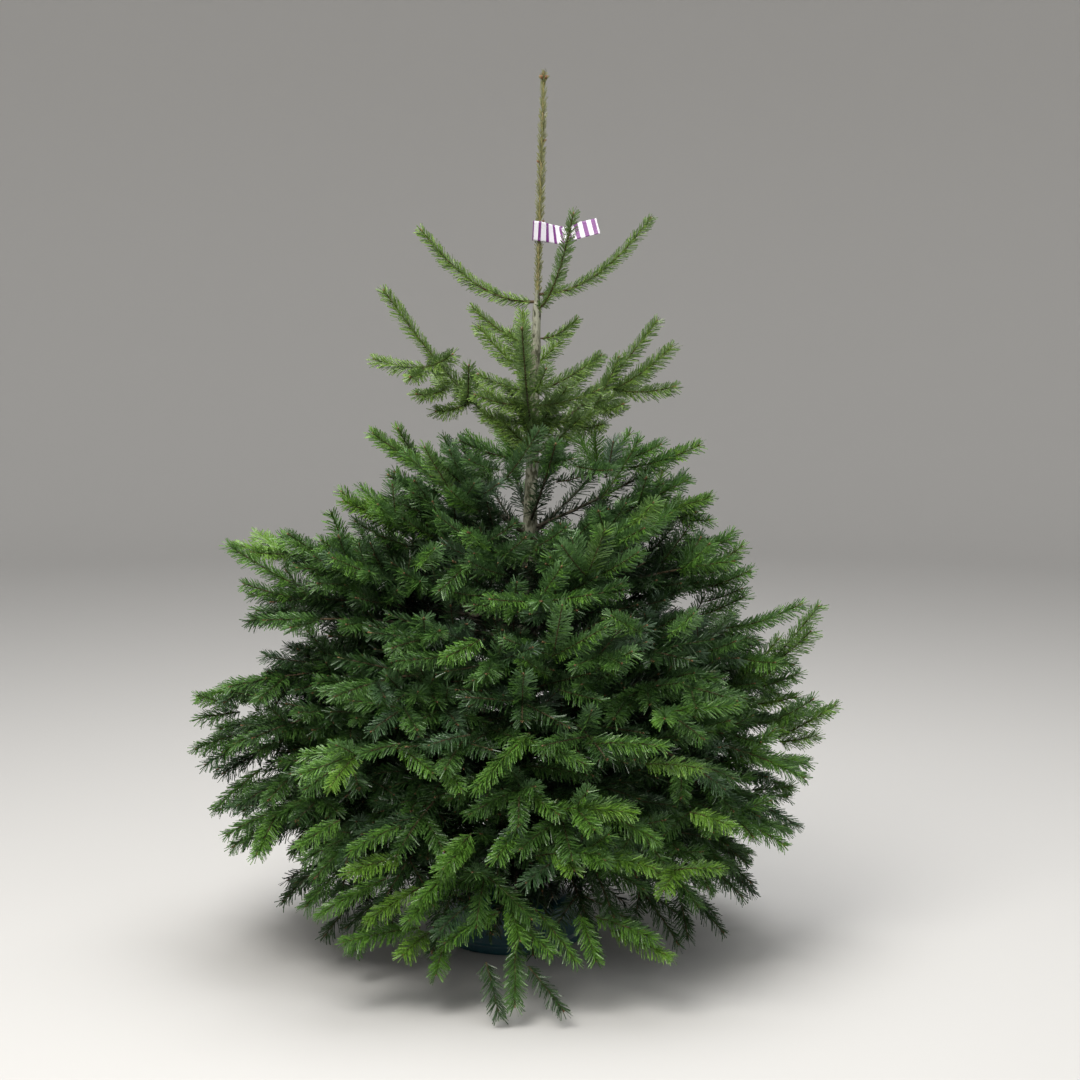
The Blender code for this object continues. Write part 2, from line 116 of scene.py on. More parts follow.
def scaled(tree, vector, factor):
    made = addNode(tree, "ShaderNodeVectorMath", {0: vector, "Scale": factor}, operation="SCALE")
    return made.outputs[0]


def mapped(tree, value, low, high, toLow, toHigh):
    made = addNode(
        tree, "ShaderNodeMapRange",
        {"Value": value, "From Min": low, "From Max": high, "To Min": toLow, "To Max": toHigh},
    )
    return made.outputs["Result"]


def newTree(name, inputs):
    tree = bpy.data.node_groups.new(name, "GeometryNodeTree")
    tree.interface.new_socket("Geometry", in_out="INPUT", socket_type="NodeSocketGeometry")
    for label, kind, value in inputs:
        socket = tree.interface.new_socket(label, in_out="INPUT", socket_type="NodeSocket" + kind)
        if value is not None:
            socket.default_value = value
    tree.interface.new_socket("Geometry", in_out="OUTPUT", socket_type="NodeSocketGeometry")
    return tree, tree.nodes.new("NodeGroupInput").outputs


def endTree(tree, geometry, material):
    painted = addNode(tree, "GeometryNodeSetMaterial", {"Geometry": geometry, "Material": material})
    end = tree.nodes.new("NodeGroupOutput")
    tree.links.new(painted.outputs[0], end.inputs[0])


def grownMesh(name, source, tree, values):
    # the tree's result on a source mesh, as a plain mesh object
    item = bpy.data.objects.new(name, source)
    bpy.context.scene.collection.objects.link(item)
    modifier = item.modifiers.new(tree.name, "NODES")
    modifier.node_group = tree
    sockets = {s.name: s.identifier for s in tree.interface.items_tree if s.in_out == "INPUT"}
    for label, value in values.items():
        modifier[sockets[label]] = value
    graph = bpy.context.evaluated_depsgraph_get()
    result = bpy.data.meshes.new_from_object(item.evaluated_get(graph))
    item.modifiers.remove(modifier)
    item.data = result
    result.name = name
    bpy.data.meshes.remove(source)
    for extra in [a.name for a in result.attributes if a.name in lineData]:
        result.attributes.remove(result.attributes[extra])
    return item


def namedValue(tree, name, kind="FLOAT"):
    made = addNode(tree, "GeometryNodeInputNamedAttribute", {"Name": name}, data_type=kind)
    return made.outputs[0]


# shader groups: each puts out colours, masks or normals that change over the surface
def newGroup(name, inputs, outputs):
    tree = bpy.data.node_groups.new(name, "ShaderNodeTree")
    for label, kind, value in inputs:
        socket = tree.interface.new_socket(label, in_out="INPUT", socket_type="NodeSocket" + kind)
        if value is not None:
            socket.default_value = value
    for label, kind in outputs:
        tree.interface.new_socket(label, in_out="OUTPUT", socket_type="NodeSocket" + kind)
    return tree, tree.nodes.new("NodeGroupInput").outputs, tree.nodes.new("NodeGroupOutput").inputs


def makePatchGroup():
    # soft patches of a second colour, sized in patches per metre
    tree, given, out = newGroup(
        "patchTint",
        [("Color", "Color", None), ("Patch Color", "Color", None), ("Scale", "Float", 20.0),
         ("Stretch", "Vector", (1, 1, 1)), ("Low", "Float", 0.45), ("High", "Float", 0.6)],
        [("Color", "Color"), ("Mask", "Float")],
    )
    place = addNode(tree, "ShaderNodeTexCoord").outputs["Object"]
    place = vectorMaths(tree, "MULTIPLY", place, given["Stretch"])
    clouds = addNode(tree, "ShaderNodeTexNoise", {"Vector": place, "Scale": given["Scale"], "Detail": 5.0})
    mask = mapped(tree, clouds.outputs[0], given["Low"], given["High"], 0.0, 1.0)
    mix = addNode(
        tree, "ShaderNodeMix", {0: mask, 6: given["Color"], 7: given["Patch Color"]}, data_type="RGBA"
    )
    tree.links.new(mix.outputs[2], out["Color"])
    tree.links.new(mask, out["Mask"])
    return tree


def makeGrainGroup():
    # fine unevenness as a normal and as a roughness around a middle value
    tree, given, out = newGroup(
        "fineGrain",
        [("Scale", "Float", 300.0), ("Stretch", "Vector", (1, 1, 1)), ("Strength", "Float", 0.3),
         ("Distance", "Float", 0.001), ("Rough Low", "Float", 0.4), ("Rough High", "Float", 0.6)],
        [("Normal", "Vector"), ("Roughness", "Float")],
    )
    place = addNode(tree, "ShaderNodeTexCoord").outputs["Object"]
    place = vectorMaths(tree, "MULTIPLY", place, given["Stretch"])
    grain = addNode(tree, "ShaderNodeTexNoise", {"Vector": place, "Scale": given["Scale"], "Detail": 3.0})
    bump = addNode(
        tree, "ShaderNodeBump",
        {"Strength": given["Strength"], "Distance": given["Distance"], "Height": grain.outputs[0]},
    )
    rough = mapped(tree, grain.outputs[0], 0.3, 0.7, given["Rough Low"], given["Rough High"])
    tree.links.new(bump.outputs[0], out["Normal"])
    tree.links.new(rough, out["Roughness"])
    return tree


patchTint = makePatchGroup()
fineGrain = makeGrainGroup()


def newMaterial(name, metallic=0.0, specular=0.5):
    material = bpy.data.materials.new(name)
    material.use_nodes = True
    shader = material.node_tree.nodes["Principled BSDF"]
    shader.inputs["Metallic"].default_value = metallic
    shader.inputs["Specular IOR Level"].default_value = specular
    return material, material.node_tree, shader


def addGroup(tree, group, values):
    made = tree.nodes.new("ShaderNodeGroup")
    made.node_tree = group
    for label, value in values.items():
        if isinstance(value, bpy.types.NodeSocket):
            tree.links.new(value, made.inputs[label])
        else:
            made.inputs[label].default_value = (*value, 1) if label.endswith("Color") else value
    return made


# needles: one plain green for each kind of spray, paler underneath. The greens are partly lit and shaded copies of one
# green: fresh and bright hold painted light, dark and deep painted shade, besides new growth being paler
needleTones = {
    "fresh": {"top": (0.095, 0.215, 0.018), "patch": (0.200, 0.350, 0.052), "under": (0.150, 0.265, 0.080)},
    "bright": {"top": (0.062, 0.165, 0.016), "patch": (0.155, 0.300, 0.050), "under": (0.115, 0.225, 0.078)},
    "middle": {"top": (0.038, 0.108, 0.015), "patch": (0.112, 0.222, 0.048), "under": (0.088, 0.172, 0.068)},
    "bluish": {"top": (0.026, 0.072, 0.020), "patch": (0.090, 0.165, 0.070), "under": (0.125, 0.200, 0.125)},
    "dark": {"top": (0.017, 0.052, 0.010), "patch": (0.048, 0.104, 0.024), "under": (0.042, 0.084, 0.034)},
    "deep": {"top": (0.007, 0.021, 0.005), "patch": (0.017, 0.044, 0.011), "under": (0.018, 0.037, 0.017)},
    "upper": {"top": (0.098, 0.190, 0.024), "patch": (0.245, 0.360, 0.075), "under": (0.165, 0.255, 0.095)},
    "leader": {"top": (0.150, 0.170, 0.040), "patch": (0.300, 0.270, 0.090), "under": (0.220, 0.230, 0.100)},
}


def makeNeedleMaterial(tone, colors):
    material, tree, shader = newMaterial(tone + "Needles", specular=0.5)
    # paler patches needle by needle: green that differs at random, partly brightened as a painted sheen standing in for
    # highlights
    tint = addGroup(
        tree, patchTint,
        {"Color": colors["top"], "Patch Color": colors["patch"], "Scale": 210.0, "Low": 0.44, "High": 0.68},
    )
    side = tree.nodes.new("ShaderNodeNewGeometry").outputs["Backfacing"]
    color = addNode(
        tree, "ShaderNodeMix", {0: side, 6: tint.outputs["Color"], 7: (*colors["under"], 1)}, data_type="RGBA"
    )
    tree.links.new(color.outputs[2], shader.inputs["Base Color"])
    rough = addGroup(tree, fineGrain, {"Scale": 60.0, "Rough Low": 0.30, "Rough High": 0.44})
    tree.links.new(rough.outputs["Roughness"], shader.inputs["Roughness"])
    return material


needleMaterials = {tone: makeNeedleMaterial(tone, colors) for tone, colors in needleTones.items()}

# bark: pale grey with dark flecks on the trunk, brown on young twigs, olive on the leader
barks = {
    "trunkBark": {"color": (0.175, 0.172, 0.120), "patch": (0.290, 0.292, 0.225), "scale": 26.0,
                  "stretch": (1, 1, 0.45), "low": 0.38, "high": 0.62, "bump": 0.8, "grain": 300.0,
                  "fleck": (0.060, 0.062, 0.036), "fleckScale": 120.0, "fleckLow": 0.515, "fleckHigh": 0.610},
    "boughBark": {"color": (0.060, 0.047, 0.032), "patch": (0.130, 0.115, 0.088), "scale": 45.0,
                  "stretch": (1, 1, 1), "low": 0.45, "high": 0.66, "bump": 0.6, "grain": 500.0,
                  "fleck": (0.035, 0.028, 0.020), "fleckScale": 160.0, "fleckLow": 0.56, "fleckHigh": 0.66},
    "twigBark": {"color": (0.058, 0.036, 0.018), "patch": (0.100, 0.072, 0.038), "scale": 60.0,
                 "stretch": (1, 1, 1), "low": 0.42, "high": 0.66, "bump": 0.3, "grain": 900.0},
    "leaderBark": {"color": (0.215, 0.195, 0.075), "patch": (0.300, 0.235, 0.130), "scale": 40.0,
                   "stretch": (1, 1, 0.4), "low": 0.40, "high": 0.66, "bump": 0.3, "grain": 900.0},
    "budScales": {"color": (0.150, 0.072, 0.034), "patch": (0.270, 0.165, 0.085), "scale": 160.0,
                  "stretch": (1, 1, 1), "low": 0.42, "high": 0.66, "bump": 0.4, "grain": 1500.0},
}


def makeBark(name, bark):
    material, tree, shader = newMaterial(name, specular=0.3)
    tint = addGroup(
        tree, patchTint,
        {"Color": bark["color"], "Patch Color": bark["patch"], "Scale": bark["scale"],
         "Stretch": bark["stretch"], "Low": bark["low"], "High": bark["high"]},
    )
    if "fleck" in bark:
        tint = addGroup(
            tree, patchTint,
            {"Color": tint.outputs["Color"], "Patch Color": bark["fleck"], "Scale": bark["fleckScale"],
             "Stretch": bark["stretch"], "Low": bark["fleckLow"], "High": bark["fleckHigh"]},
        )
    grain = addGroup(
        tree, fineGrain,
        {"Scale": bark["grain"], "Stretch": bark["stretch"], "Strength": bark["bump"], "Distance": 0.0008,
         "Rough Low": 0.62, "Rough High": 0.9},
    )
    tree.links.new(tint.outputs["Color"], shader.inputs["Base Color"])
    tree.links.new(grain.outputs["Normal"], shader.inputs["Normal"])
    tree.links.new(grain.outputs["Roughness"], shader.inputs["Roughness"])
    return material


barkMaterials = {name: makeBark(name, bark) for name, bark in barks.items()}
print("materials made")


# tree form: the same sizes and the same rule as the solids
trunk = {
    "height": 1.887, "lean": 0.0352, "sway": 0.004, "cut": 0.024, "radius": 0.0284, "taper": 0.0145,
    "flare": 0.004, "flareHeight": 0.07, "leaderFoot": 1.402, "leaderRadius": 0.0046, "tipRadius": 0.0028,
}
# whorl: height of the roots, lift of the middle, (azimuth, reach, height of the tip)
whorls = {
    1: (1.395, -0.045, ((0, 0.245, 1.579), (180, 0.252, 1.554), (297, 0.170, 1.590))),
    2: (1.300, -0.015, ((4, 0.092, 1.364), (176, 0.140, 1.388))),
    3: (1.085, -0.030, ((2, 0.270, 1.360), (95, 0.270, 1.370), (180, 0.320, 1.425), (265, 0.250, 1.355))),
    4: (0.906, -0.010, ((102, 0.330, 1.120), (178, 0.350, 1.116), (228, 0.310, 1.095),
                        (282, 0.270, 1.125), (346, 0.350, 1.092), (45, 0.330, 1.105))),
    5: (0.790, 0.000, ((2, 0.400, 0.975), (48, 0.460, 0.930), (108, 0.430, 0.980),
                       (196, 0.420, 0.985), (252, 0.400, 0.950), (305, 0.430, 0.955))),
    6: (0.660, 0.030, ((6, 0.625, 0.742), (62, 0.600, 0.790), (126, 0.600, 0.810),
                       (178, 0.650, 0.870), (274, 0.500, 0.822))),
    7: (0.530, 0.060, ((92, 0.640, 0.580), (186, 0.715, 0.545), (240, 0.610, 0.560),
                       (306, 0.630, 0.540), (356, 0.675, 0.522))),
    8: (0.400, 0.075, ((12, 0.630, 0.440), (56, 0.660, 0.420), (132, 0.670, 0.400),
                       (174, 0.695, 0.432), (270, 0.620, 0.388))),
    9: (0.285, 0.085, ((94, 0.640, 0.270), (207, 0.690, 0.300), (333, 0.640, 0.270))),
    10: (0.215, 0.105, ((18, 0.560, 0.110), (62, 0.560, 0.130), (156, 0.580, 0.120),
                        (226, 0.500, 0.052), (270, 0.655, 0.030), (318, 0.470, 0.055))),
}
# branch: how it tapers, branches and droops. A year is one year's growth, by whorl
branching = {
    "stagger": 0.016, "footRadius": 0.0012, "radiusPerReach": 0.0105, "tipRadius": 0.0011,
    "year": {1: 0.40, 2: 0.40, 3: 0.145, 4: 0.130, 5: 0.126}, "usualYear": 0.124, "sideYear": 0.90,
    "firstShare": 0.20, "angle": 50, "angleSpread": 8, "pairRoll": 24, "tilt": 0.20,
    "newShare": 0.95, "oldShare": 0.66, "skip": 0.05, "shortest": 0.058,
    "topShoot": 0.36, "topShare": 0.70, "extraShoot": 0.30, "extraShare": 0.48, "longestExtra": 0.15,
    "bend": {1: 0.0, 2: 0.0, 3: 0.22, 4: 0.16, 5: 0.12, 6: 0.06, 7: -0.02, 8: -0.10, 9: -0.14, 10: -0.15},
    "bareInside": 0.20, "sagging": {(6, 1): -0.060, (7, 5): -0.050},
}
# needles: length and lean from the twig by whorl, and how they fall in the lower crown
needleShape = {
    "width": 0.0021, "length": {1: 0.0265, 2: 0.0250, 3: 0.0310, 4: 0.0330}, "usualLength": 0.0350,
    "lean": {1: 50, 2: 48, 3: 54, 4: 54}, "usualLean": 53, "hang": 0.20, "lowest": {1: -88, 2: -88, 3: -75},
    "usualLowest": -58, "highest": 87,
}


def trunkPoint(height):
    sway = trunk["sway"] * math.sin(math.pi * height / trunk["height"])
    return Vector((trunk["lean"] * height + sway, 0, height))


def trunkRadius(height):
    if height < trunk["leaderFoot"]:
        flare = trunk["flare"] * math.exp(-height / trunk["flareHeight"])
        return trunk["radius"] - trunk["taper"] * height + flare
    share = (height - trunk["leaderFoot"]) / (trunk["height"] - trunk["leaderFoot"])
    return trunk["leaderRadius"] + share * (trunk["tipRadius"] - trunk["leaderRadius"])


# crown: its reach from the trunk at each height, which sets how exposed a spray is
crownHeights = (0.0, 0.10, 0.40, 0.56, 0.80, 0.97, 1.11, 1.38, 1.58, 1.90)
crownReaches = (0.50, 0.62, 0.70, 0.72, 0.62, 0.44, 0.36, 0.33, 0.27, 0.03)


def exposure(point):
    axis = trunkPoint(point.z)
    reach = float(np.interp(point.z, crownHeights, crownReaches))
    return math.hypot(point.x - axis.x, point.y - axis.y) / reach


class Branch:
    # a curve from the trunk's axis to the tip, bent by its lift
    def __init__(self, whorl, number, rootHeight, lift, azimuth, reach, tipHeight):
        self.name = f"{whorl}_{number}"
        self.whorl = whorl
        self.root = trunkPoint(rootHeight)
        turn = math.radians(azimuth)
        self.tip = self.root + Vector((math.cos(turn), math.sin(turn), 0)) * reach
        self.tip.z = tipHeight
        self.middle = (self.root + self.tip) / 2 + up * 2 * lift
        stops = [self.at(step / 12) for step in range(13)]
        self.length = sum((b - a).length for a, b in zip(stops, stops[1:]))
        self.radius = branching["footRadius"] + branching["radiusPerReach"] * reach

    def at(self, share):
        rest = 1 - share
        return self.root * rest**2 + self.middle * 2 * share * rest + self.tip * share**2

    def axes(self, share):
        along = (self.middle - self.root) * (1 - share) + (self.tip - self.middle) * share
        along.normalize()
        side = up.cross(along).normalized()
        return along, side, along.cross(side)

    def radiusAt(self, share):
        return self.radius + (branching["tipRadius"] - self.radius) * share**0.7


lineData = ("above", "needleLength", "lean", "hang", "lowest", "limbRadius", "alongYear", "aim", "size")


class Line:
    # a run of points with the radius of its wood, or the shape of its needles
    def __init__(self, points, radii, above=up, length=0.0, lean=0.0, hang=0.0, lowest=0.0):
        self.points = points
        self.radii = radii
        self.above = above
        self.length = length
        self.lean = lean
        self.hang = hang
        self.lowest = lowest

    def span(self):
        return sum((b - a).length for a, b in zip(self.points, self.points[1:]))


limbs = []      # bark-covered wood of the boughs
twigs = []      # young wood
sprays = {tone: [] for tone in needleTones}
buds = []       # place, direction and length


# windows that stay open, seen from the camera: x and z on the trunk's plane
windows = (
    {"x": (0.006, 0.066), "z": (0.915, 1.025), "through": False},
    {"x": (0.012, 0.076), "z": (1.285, 1.390), "through": False},
    {"x": (-0.030, 0.004), "z": (0.930, 0.995), "through": True},
    {"x": (0.070, 0.140), "z": (0.930, 1.010), "through": True},
    {"x": (-0.760, -0.548), "z": (0.575, 0.662), "through": True},
    {"x": (0.520, 0.612), "z": (0.730, 0.850), "through": True},
)


def inWindow(point, margin=0.0):
    eye = Vector(camera["place"])
    share = eye.y / (eye.y - point.y)
    x, z = eye.x + (point.x - eye.x) * share, eye.z + (point.z - eye.z) * share
    for window in windows:
        if point.y > 0.01 and not window["through"]:
            continue
        (left, right), (low, high) = window["x"], window["z"]
        if left - margin < x < right + margin and low - margin < z < high + margin:
            return True
    return False


def blocked(points):
    # a twig that would meet the trunk, the stand or the ground is left out
    for point in points[2:]:
        axis = trunkPoint(point.z)
        out = math.hypot(point.x - axis.x, point.y)
        if out < trunkRadius(point.z) + 0.012:
            return True
        if point.z < 0.012 or (point.z < 0.125 and out < 0.158) or (point.z < 0.185 and out < 0.085):
            return True
    return False


class Habit:
    # how the shoots of one branch grow: its whorl, its bend and how much painted light or shade its sprays get
    def __init__(self, whorl, rng, light=0.0, bend=None, placed=False):
        self.placed = placed
        self.whorl = whorl
        self.rng = rng
        self.light = light
        self.bend = branching["bend"][whorl] if bend is None else bend
        self.year = branching["year"].get(whorl, branching["usualYear"])


def toneOf(point, age, rise, habit):
    # sprays far out in the crown get lit tones and those inside shaded ones, as painted light and shade; older growth
    # is darker too
    rng = habit.rng
    # painted light and shade: a branch's own light shifts its tone, and shoots that face up get lighter tones
    light = exposure(point) + 0.10 * rise + rng.uniform(-0.14, 0.14) - 0.17 * age + habit.light
    # painted shade low in the crown and painted light near the top
    light += float(np.interp(point.z, (0.15, 0.35, 0.75, 0.95), (-0.10, 0.0, 0.0, 0.18)))
    # painted shade on the left side and painted light on the right
    light += float(np.interp(point.x, (-0.5, -0.2, 0.2, 0.45), (-0.12, 0.0, 0.0, 0.12)))
    if light > 1.03:
        return "fresh"
    if light > 0.80:
        return "bright"
    if light > 0.55:
        return "bluish" if rng.random() < 0.13 else "middle"
    if light > 0.32:
        return "bluish" if rng.random() < 0.06 else "dark"
    return "deep"


def addNeedles(at, first, last, age, above, habit):
    # one line of needles for one year's growth
    points = [at(first + (last - first) * step / 4) for step in range(5)]
    whorl, rng = habit.whorl, habit.rng
    if exposure(points[2]) < (branching["bareInside"] if whorl > 5 else 0.08) and whorl > 3:
        return
    shape = needleShape
    length = shape["length"].get(whorl, shape["usualLength"]) * rng.uniform(0.90, 1.06)
    lean = shape["lean"].get(whorl, shape["usualLean"]) * rng.uniform(0.92, 1.06)
    hang = shape["hang"] if whorl >= 6 else 0.10 if whorl == 5 else 0.0
    lowest = shape["lowest"].get(whorl, shape["usualLowest"])
    rise = (points[-1] - points[0]).normalized().z
    tone = toneOf(points[2], age, rise, habit)
    if whorl <= 3:
        tone = "upper"
    sprays[tone].append(Line(points, [0.0] * 5, above, length, lean, hang, lowest))


def yearsOf(length, year):
    # shares of each year's growth, from the tip back to the foot
    count = max(1, round(length / year))
    stops = [1 - min(1, step * year / length) for step in range(count)] + [0.0]
    return [(stops[step + 1], stops[step], step) for step in range(count)]


def square(vector, along):
    return (vector - along * vector.dot(along)).normalized()


def randomVector(rng):
    return Vector((rng.uniform(-1, 1), rng.uniform(-1, 1), rng.uniform(-1, 1)))


def addBuds(tip, along, above, order):
    # a bud at the end of each shoot, with a smaller one at each side on the stronger ones
    buds.append((tip, along, 0.0072 if order < 2 else 0.0058))
    if order < 2 and exposure(tip) > 0.6:
        side = above.cross(along)
        for hand in (1, -1):
            heading = (along * 0.75 + side * hand * 0.66).normalized()
            buds.append((tip - along * 0.003 + side * hand * 0.0012, heading, 0.0050))


def growSides(at, along, above, length, place, age, habit, order):
    # side shoots at one year's node: a pair, and sometimes one on the upper side
    rng = habit.rng
    rest = length * (1 - place)
    share = branching["newShare"] if age == 1 else branching["oldShare"]
    side = above.cross(along).normalized()
    for hand in (1, -1, 0):
        if rng.random() < (branching["skip"] if hand else 1 - branching["topShoot"]):
            continue
        turn = math.radians(branching["angle"] + rng.uniform(-1, 1) * branching["angleSpread"])
        roll = math.radians(rng.uniform(-0.6, 1) * branching["pairRoll"])
        if hand:
            out = side * hand * math.cos(roll) + above * math.sin(roll)
            reach = rest * share * rng.uniform(0.78, 1.08)
        else:
            out = above * math.cos(roll) + side * math.sin(roll * 2)
            reach = rest * share * branching["topShare"] * rng.uniform(0.7, 1.1)
            reach = min(reach, 0.16)
        heading = (along * math.cos(turn) + out * math.sin(turn)).normalized()
        growShoot(at, heading, above, reach, habit, order + 1)


def growExtra(at, along, above, length, place, habit, order):
    # a small shoot between two years' nodes
    rng = habit.rng
    if rng.random() > branching["extraShoot"]:
        return
    side = above.cross(along).normalized()
    turn = math.radians(rng.uniform(45, 65))
    roll = rng.uniform(-0.6, math.pi + 0.6)
    out = side * math.cos(roll) + above * math.sin(roll)
    heading = (along * math.cos(turn) + out * math.sin(turn)).normalized()
    reach = min(branching["longestExtra"], length * (1 - place) * branching["extraShare"])
    growShoot(at, heading, above, reach * rng.uniform(0.7, 1.1), habit, order + 2)


def growShoot(start, direction, above, length, habit, order):
    # a side shoot, bent up in the upper crown and down in the lower one
    if length < branching["shortest"]:
        return
    rng = habit.rng
    bend = up * habit.bend * length

    def at(share):
        return start + direction * length * share + bend * share**2

    steps = max(4, round(length / 0.022))
    points = [at(step / steps) for step in range(steps + 1)]
    if blocked(points) or not habit.placed and any(inWindow(point, 0.012) for point in points[1:]):
        return
    tilted = above * 0.65 + up * 0.35 + randomVector(rng) * branching["tilt"]
    above = square(tilted, (points[-1] - points[0]).normalized())
    foot = branching["tipRadius"] + 0.0045 * length
    radii = [foot + (branching["tipRadius"] - foot) * step / steps for step in range(steps + 1)]
    twigs.append(Line(points, radii))
    addBuds(points[-1], (points[-1] - points[-2]).normalized(), above, order)
    years = yearsOf(length, habit.year * branching["sideYear"] * rng.uniform(0.9, 1.1))
    for first, last, age in years:
        addNeedles(at, first, last, age, above, habit)
    if order >= 3 or habit.whorl == 3 and length < 0.16:
        return
    for first, last, age in years:
        along = (at(last) - at(max(0, last - 0.05))).normalized()
        if age:
            growSides(at(last), along, above, length, last, age, habit, order)
            middle = (first + last) / 2
            growExtra(at(middle), along, above, length, middle, habit, order)


# third whorl: side shoots from where to where, as the photograph shows them
placedShoots = {
    "3_3": (
        ((-0.188, 0.0, 1.256), (-0.298, 0.04, 1.270)), ((-0.188, 0.0, 1.256), (-0.129, -0.06, 1.285)),
        ((-0.188, 0.0, 1.256), (-0.215, -0.09, 1.240)), ((-0.140, 0.0, 1.211), (-0.200, -0.11, 1.205)),
        ((-0.140, 0.0, 1.211), (-0.170, 0.12, 1.240)), ((-0.097, 0.0, 1.177), (-0.092, -0.09, 1.262)),
        ((-0.097, 0.0, 1.177), (-0.120, 0.10, 1.215)), ((-0.097, 0.0, 1.177), (-0.160, -0.05, 1.165)),
    ),
    "3_1": (
        ((0.215, 0.0, 1.207), (0.336, -0.04, 1.300)), ((0.215, 0.0, 1.207), (0.296, 0.08, 1.246)),
        ((0.215, 0.0, 1.207), (0.341, -0.07, 1.218)), ((0.174, 0.0, 1.168), (0.232, -0.11, 1.184)),
        ((0.174, 0.0, 1.168), (0.250, 0.11, 1.215)), ((0.174, 0.0, 1.168), (0.225, -0.02, 1.275)),
        ((0.120, 0.0, 1.130), (0.190, -0.09, 1.140)), ((0.120, 0.0, 1.130), (0.170, 0.10, 1.170)),
    ),
    "3_4": (
        ((0.045, -0.120, 1.210), (-0.068, -0.15, 1.248)), ((0.045, -0.120, 1.210), (0.181, -0.15, 1.286)),
        ((0.042, -0.100, 1.180), (0.177, -0.13, 1.214)), ((0.042, -0.100, 1.180), (-0.075, -0.13, 1.204)),
        ((0.040, -0.070, 1.140), (0.173, -0.09, 1.161)), ((0.040, -0.070, 1.140), (-0.060, -0.10, 1.163)),
        ((0.045, -0.120, 1.210), (0.070, -0.20, 1.262)),
    ),
    "4_3": (), "4_4": (), "4_5": (), "10_5": (),
}
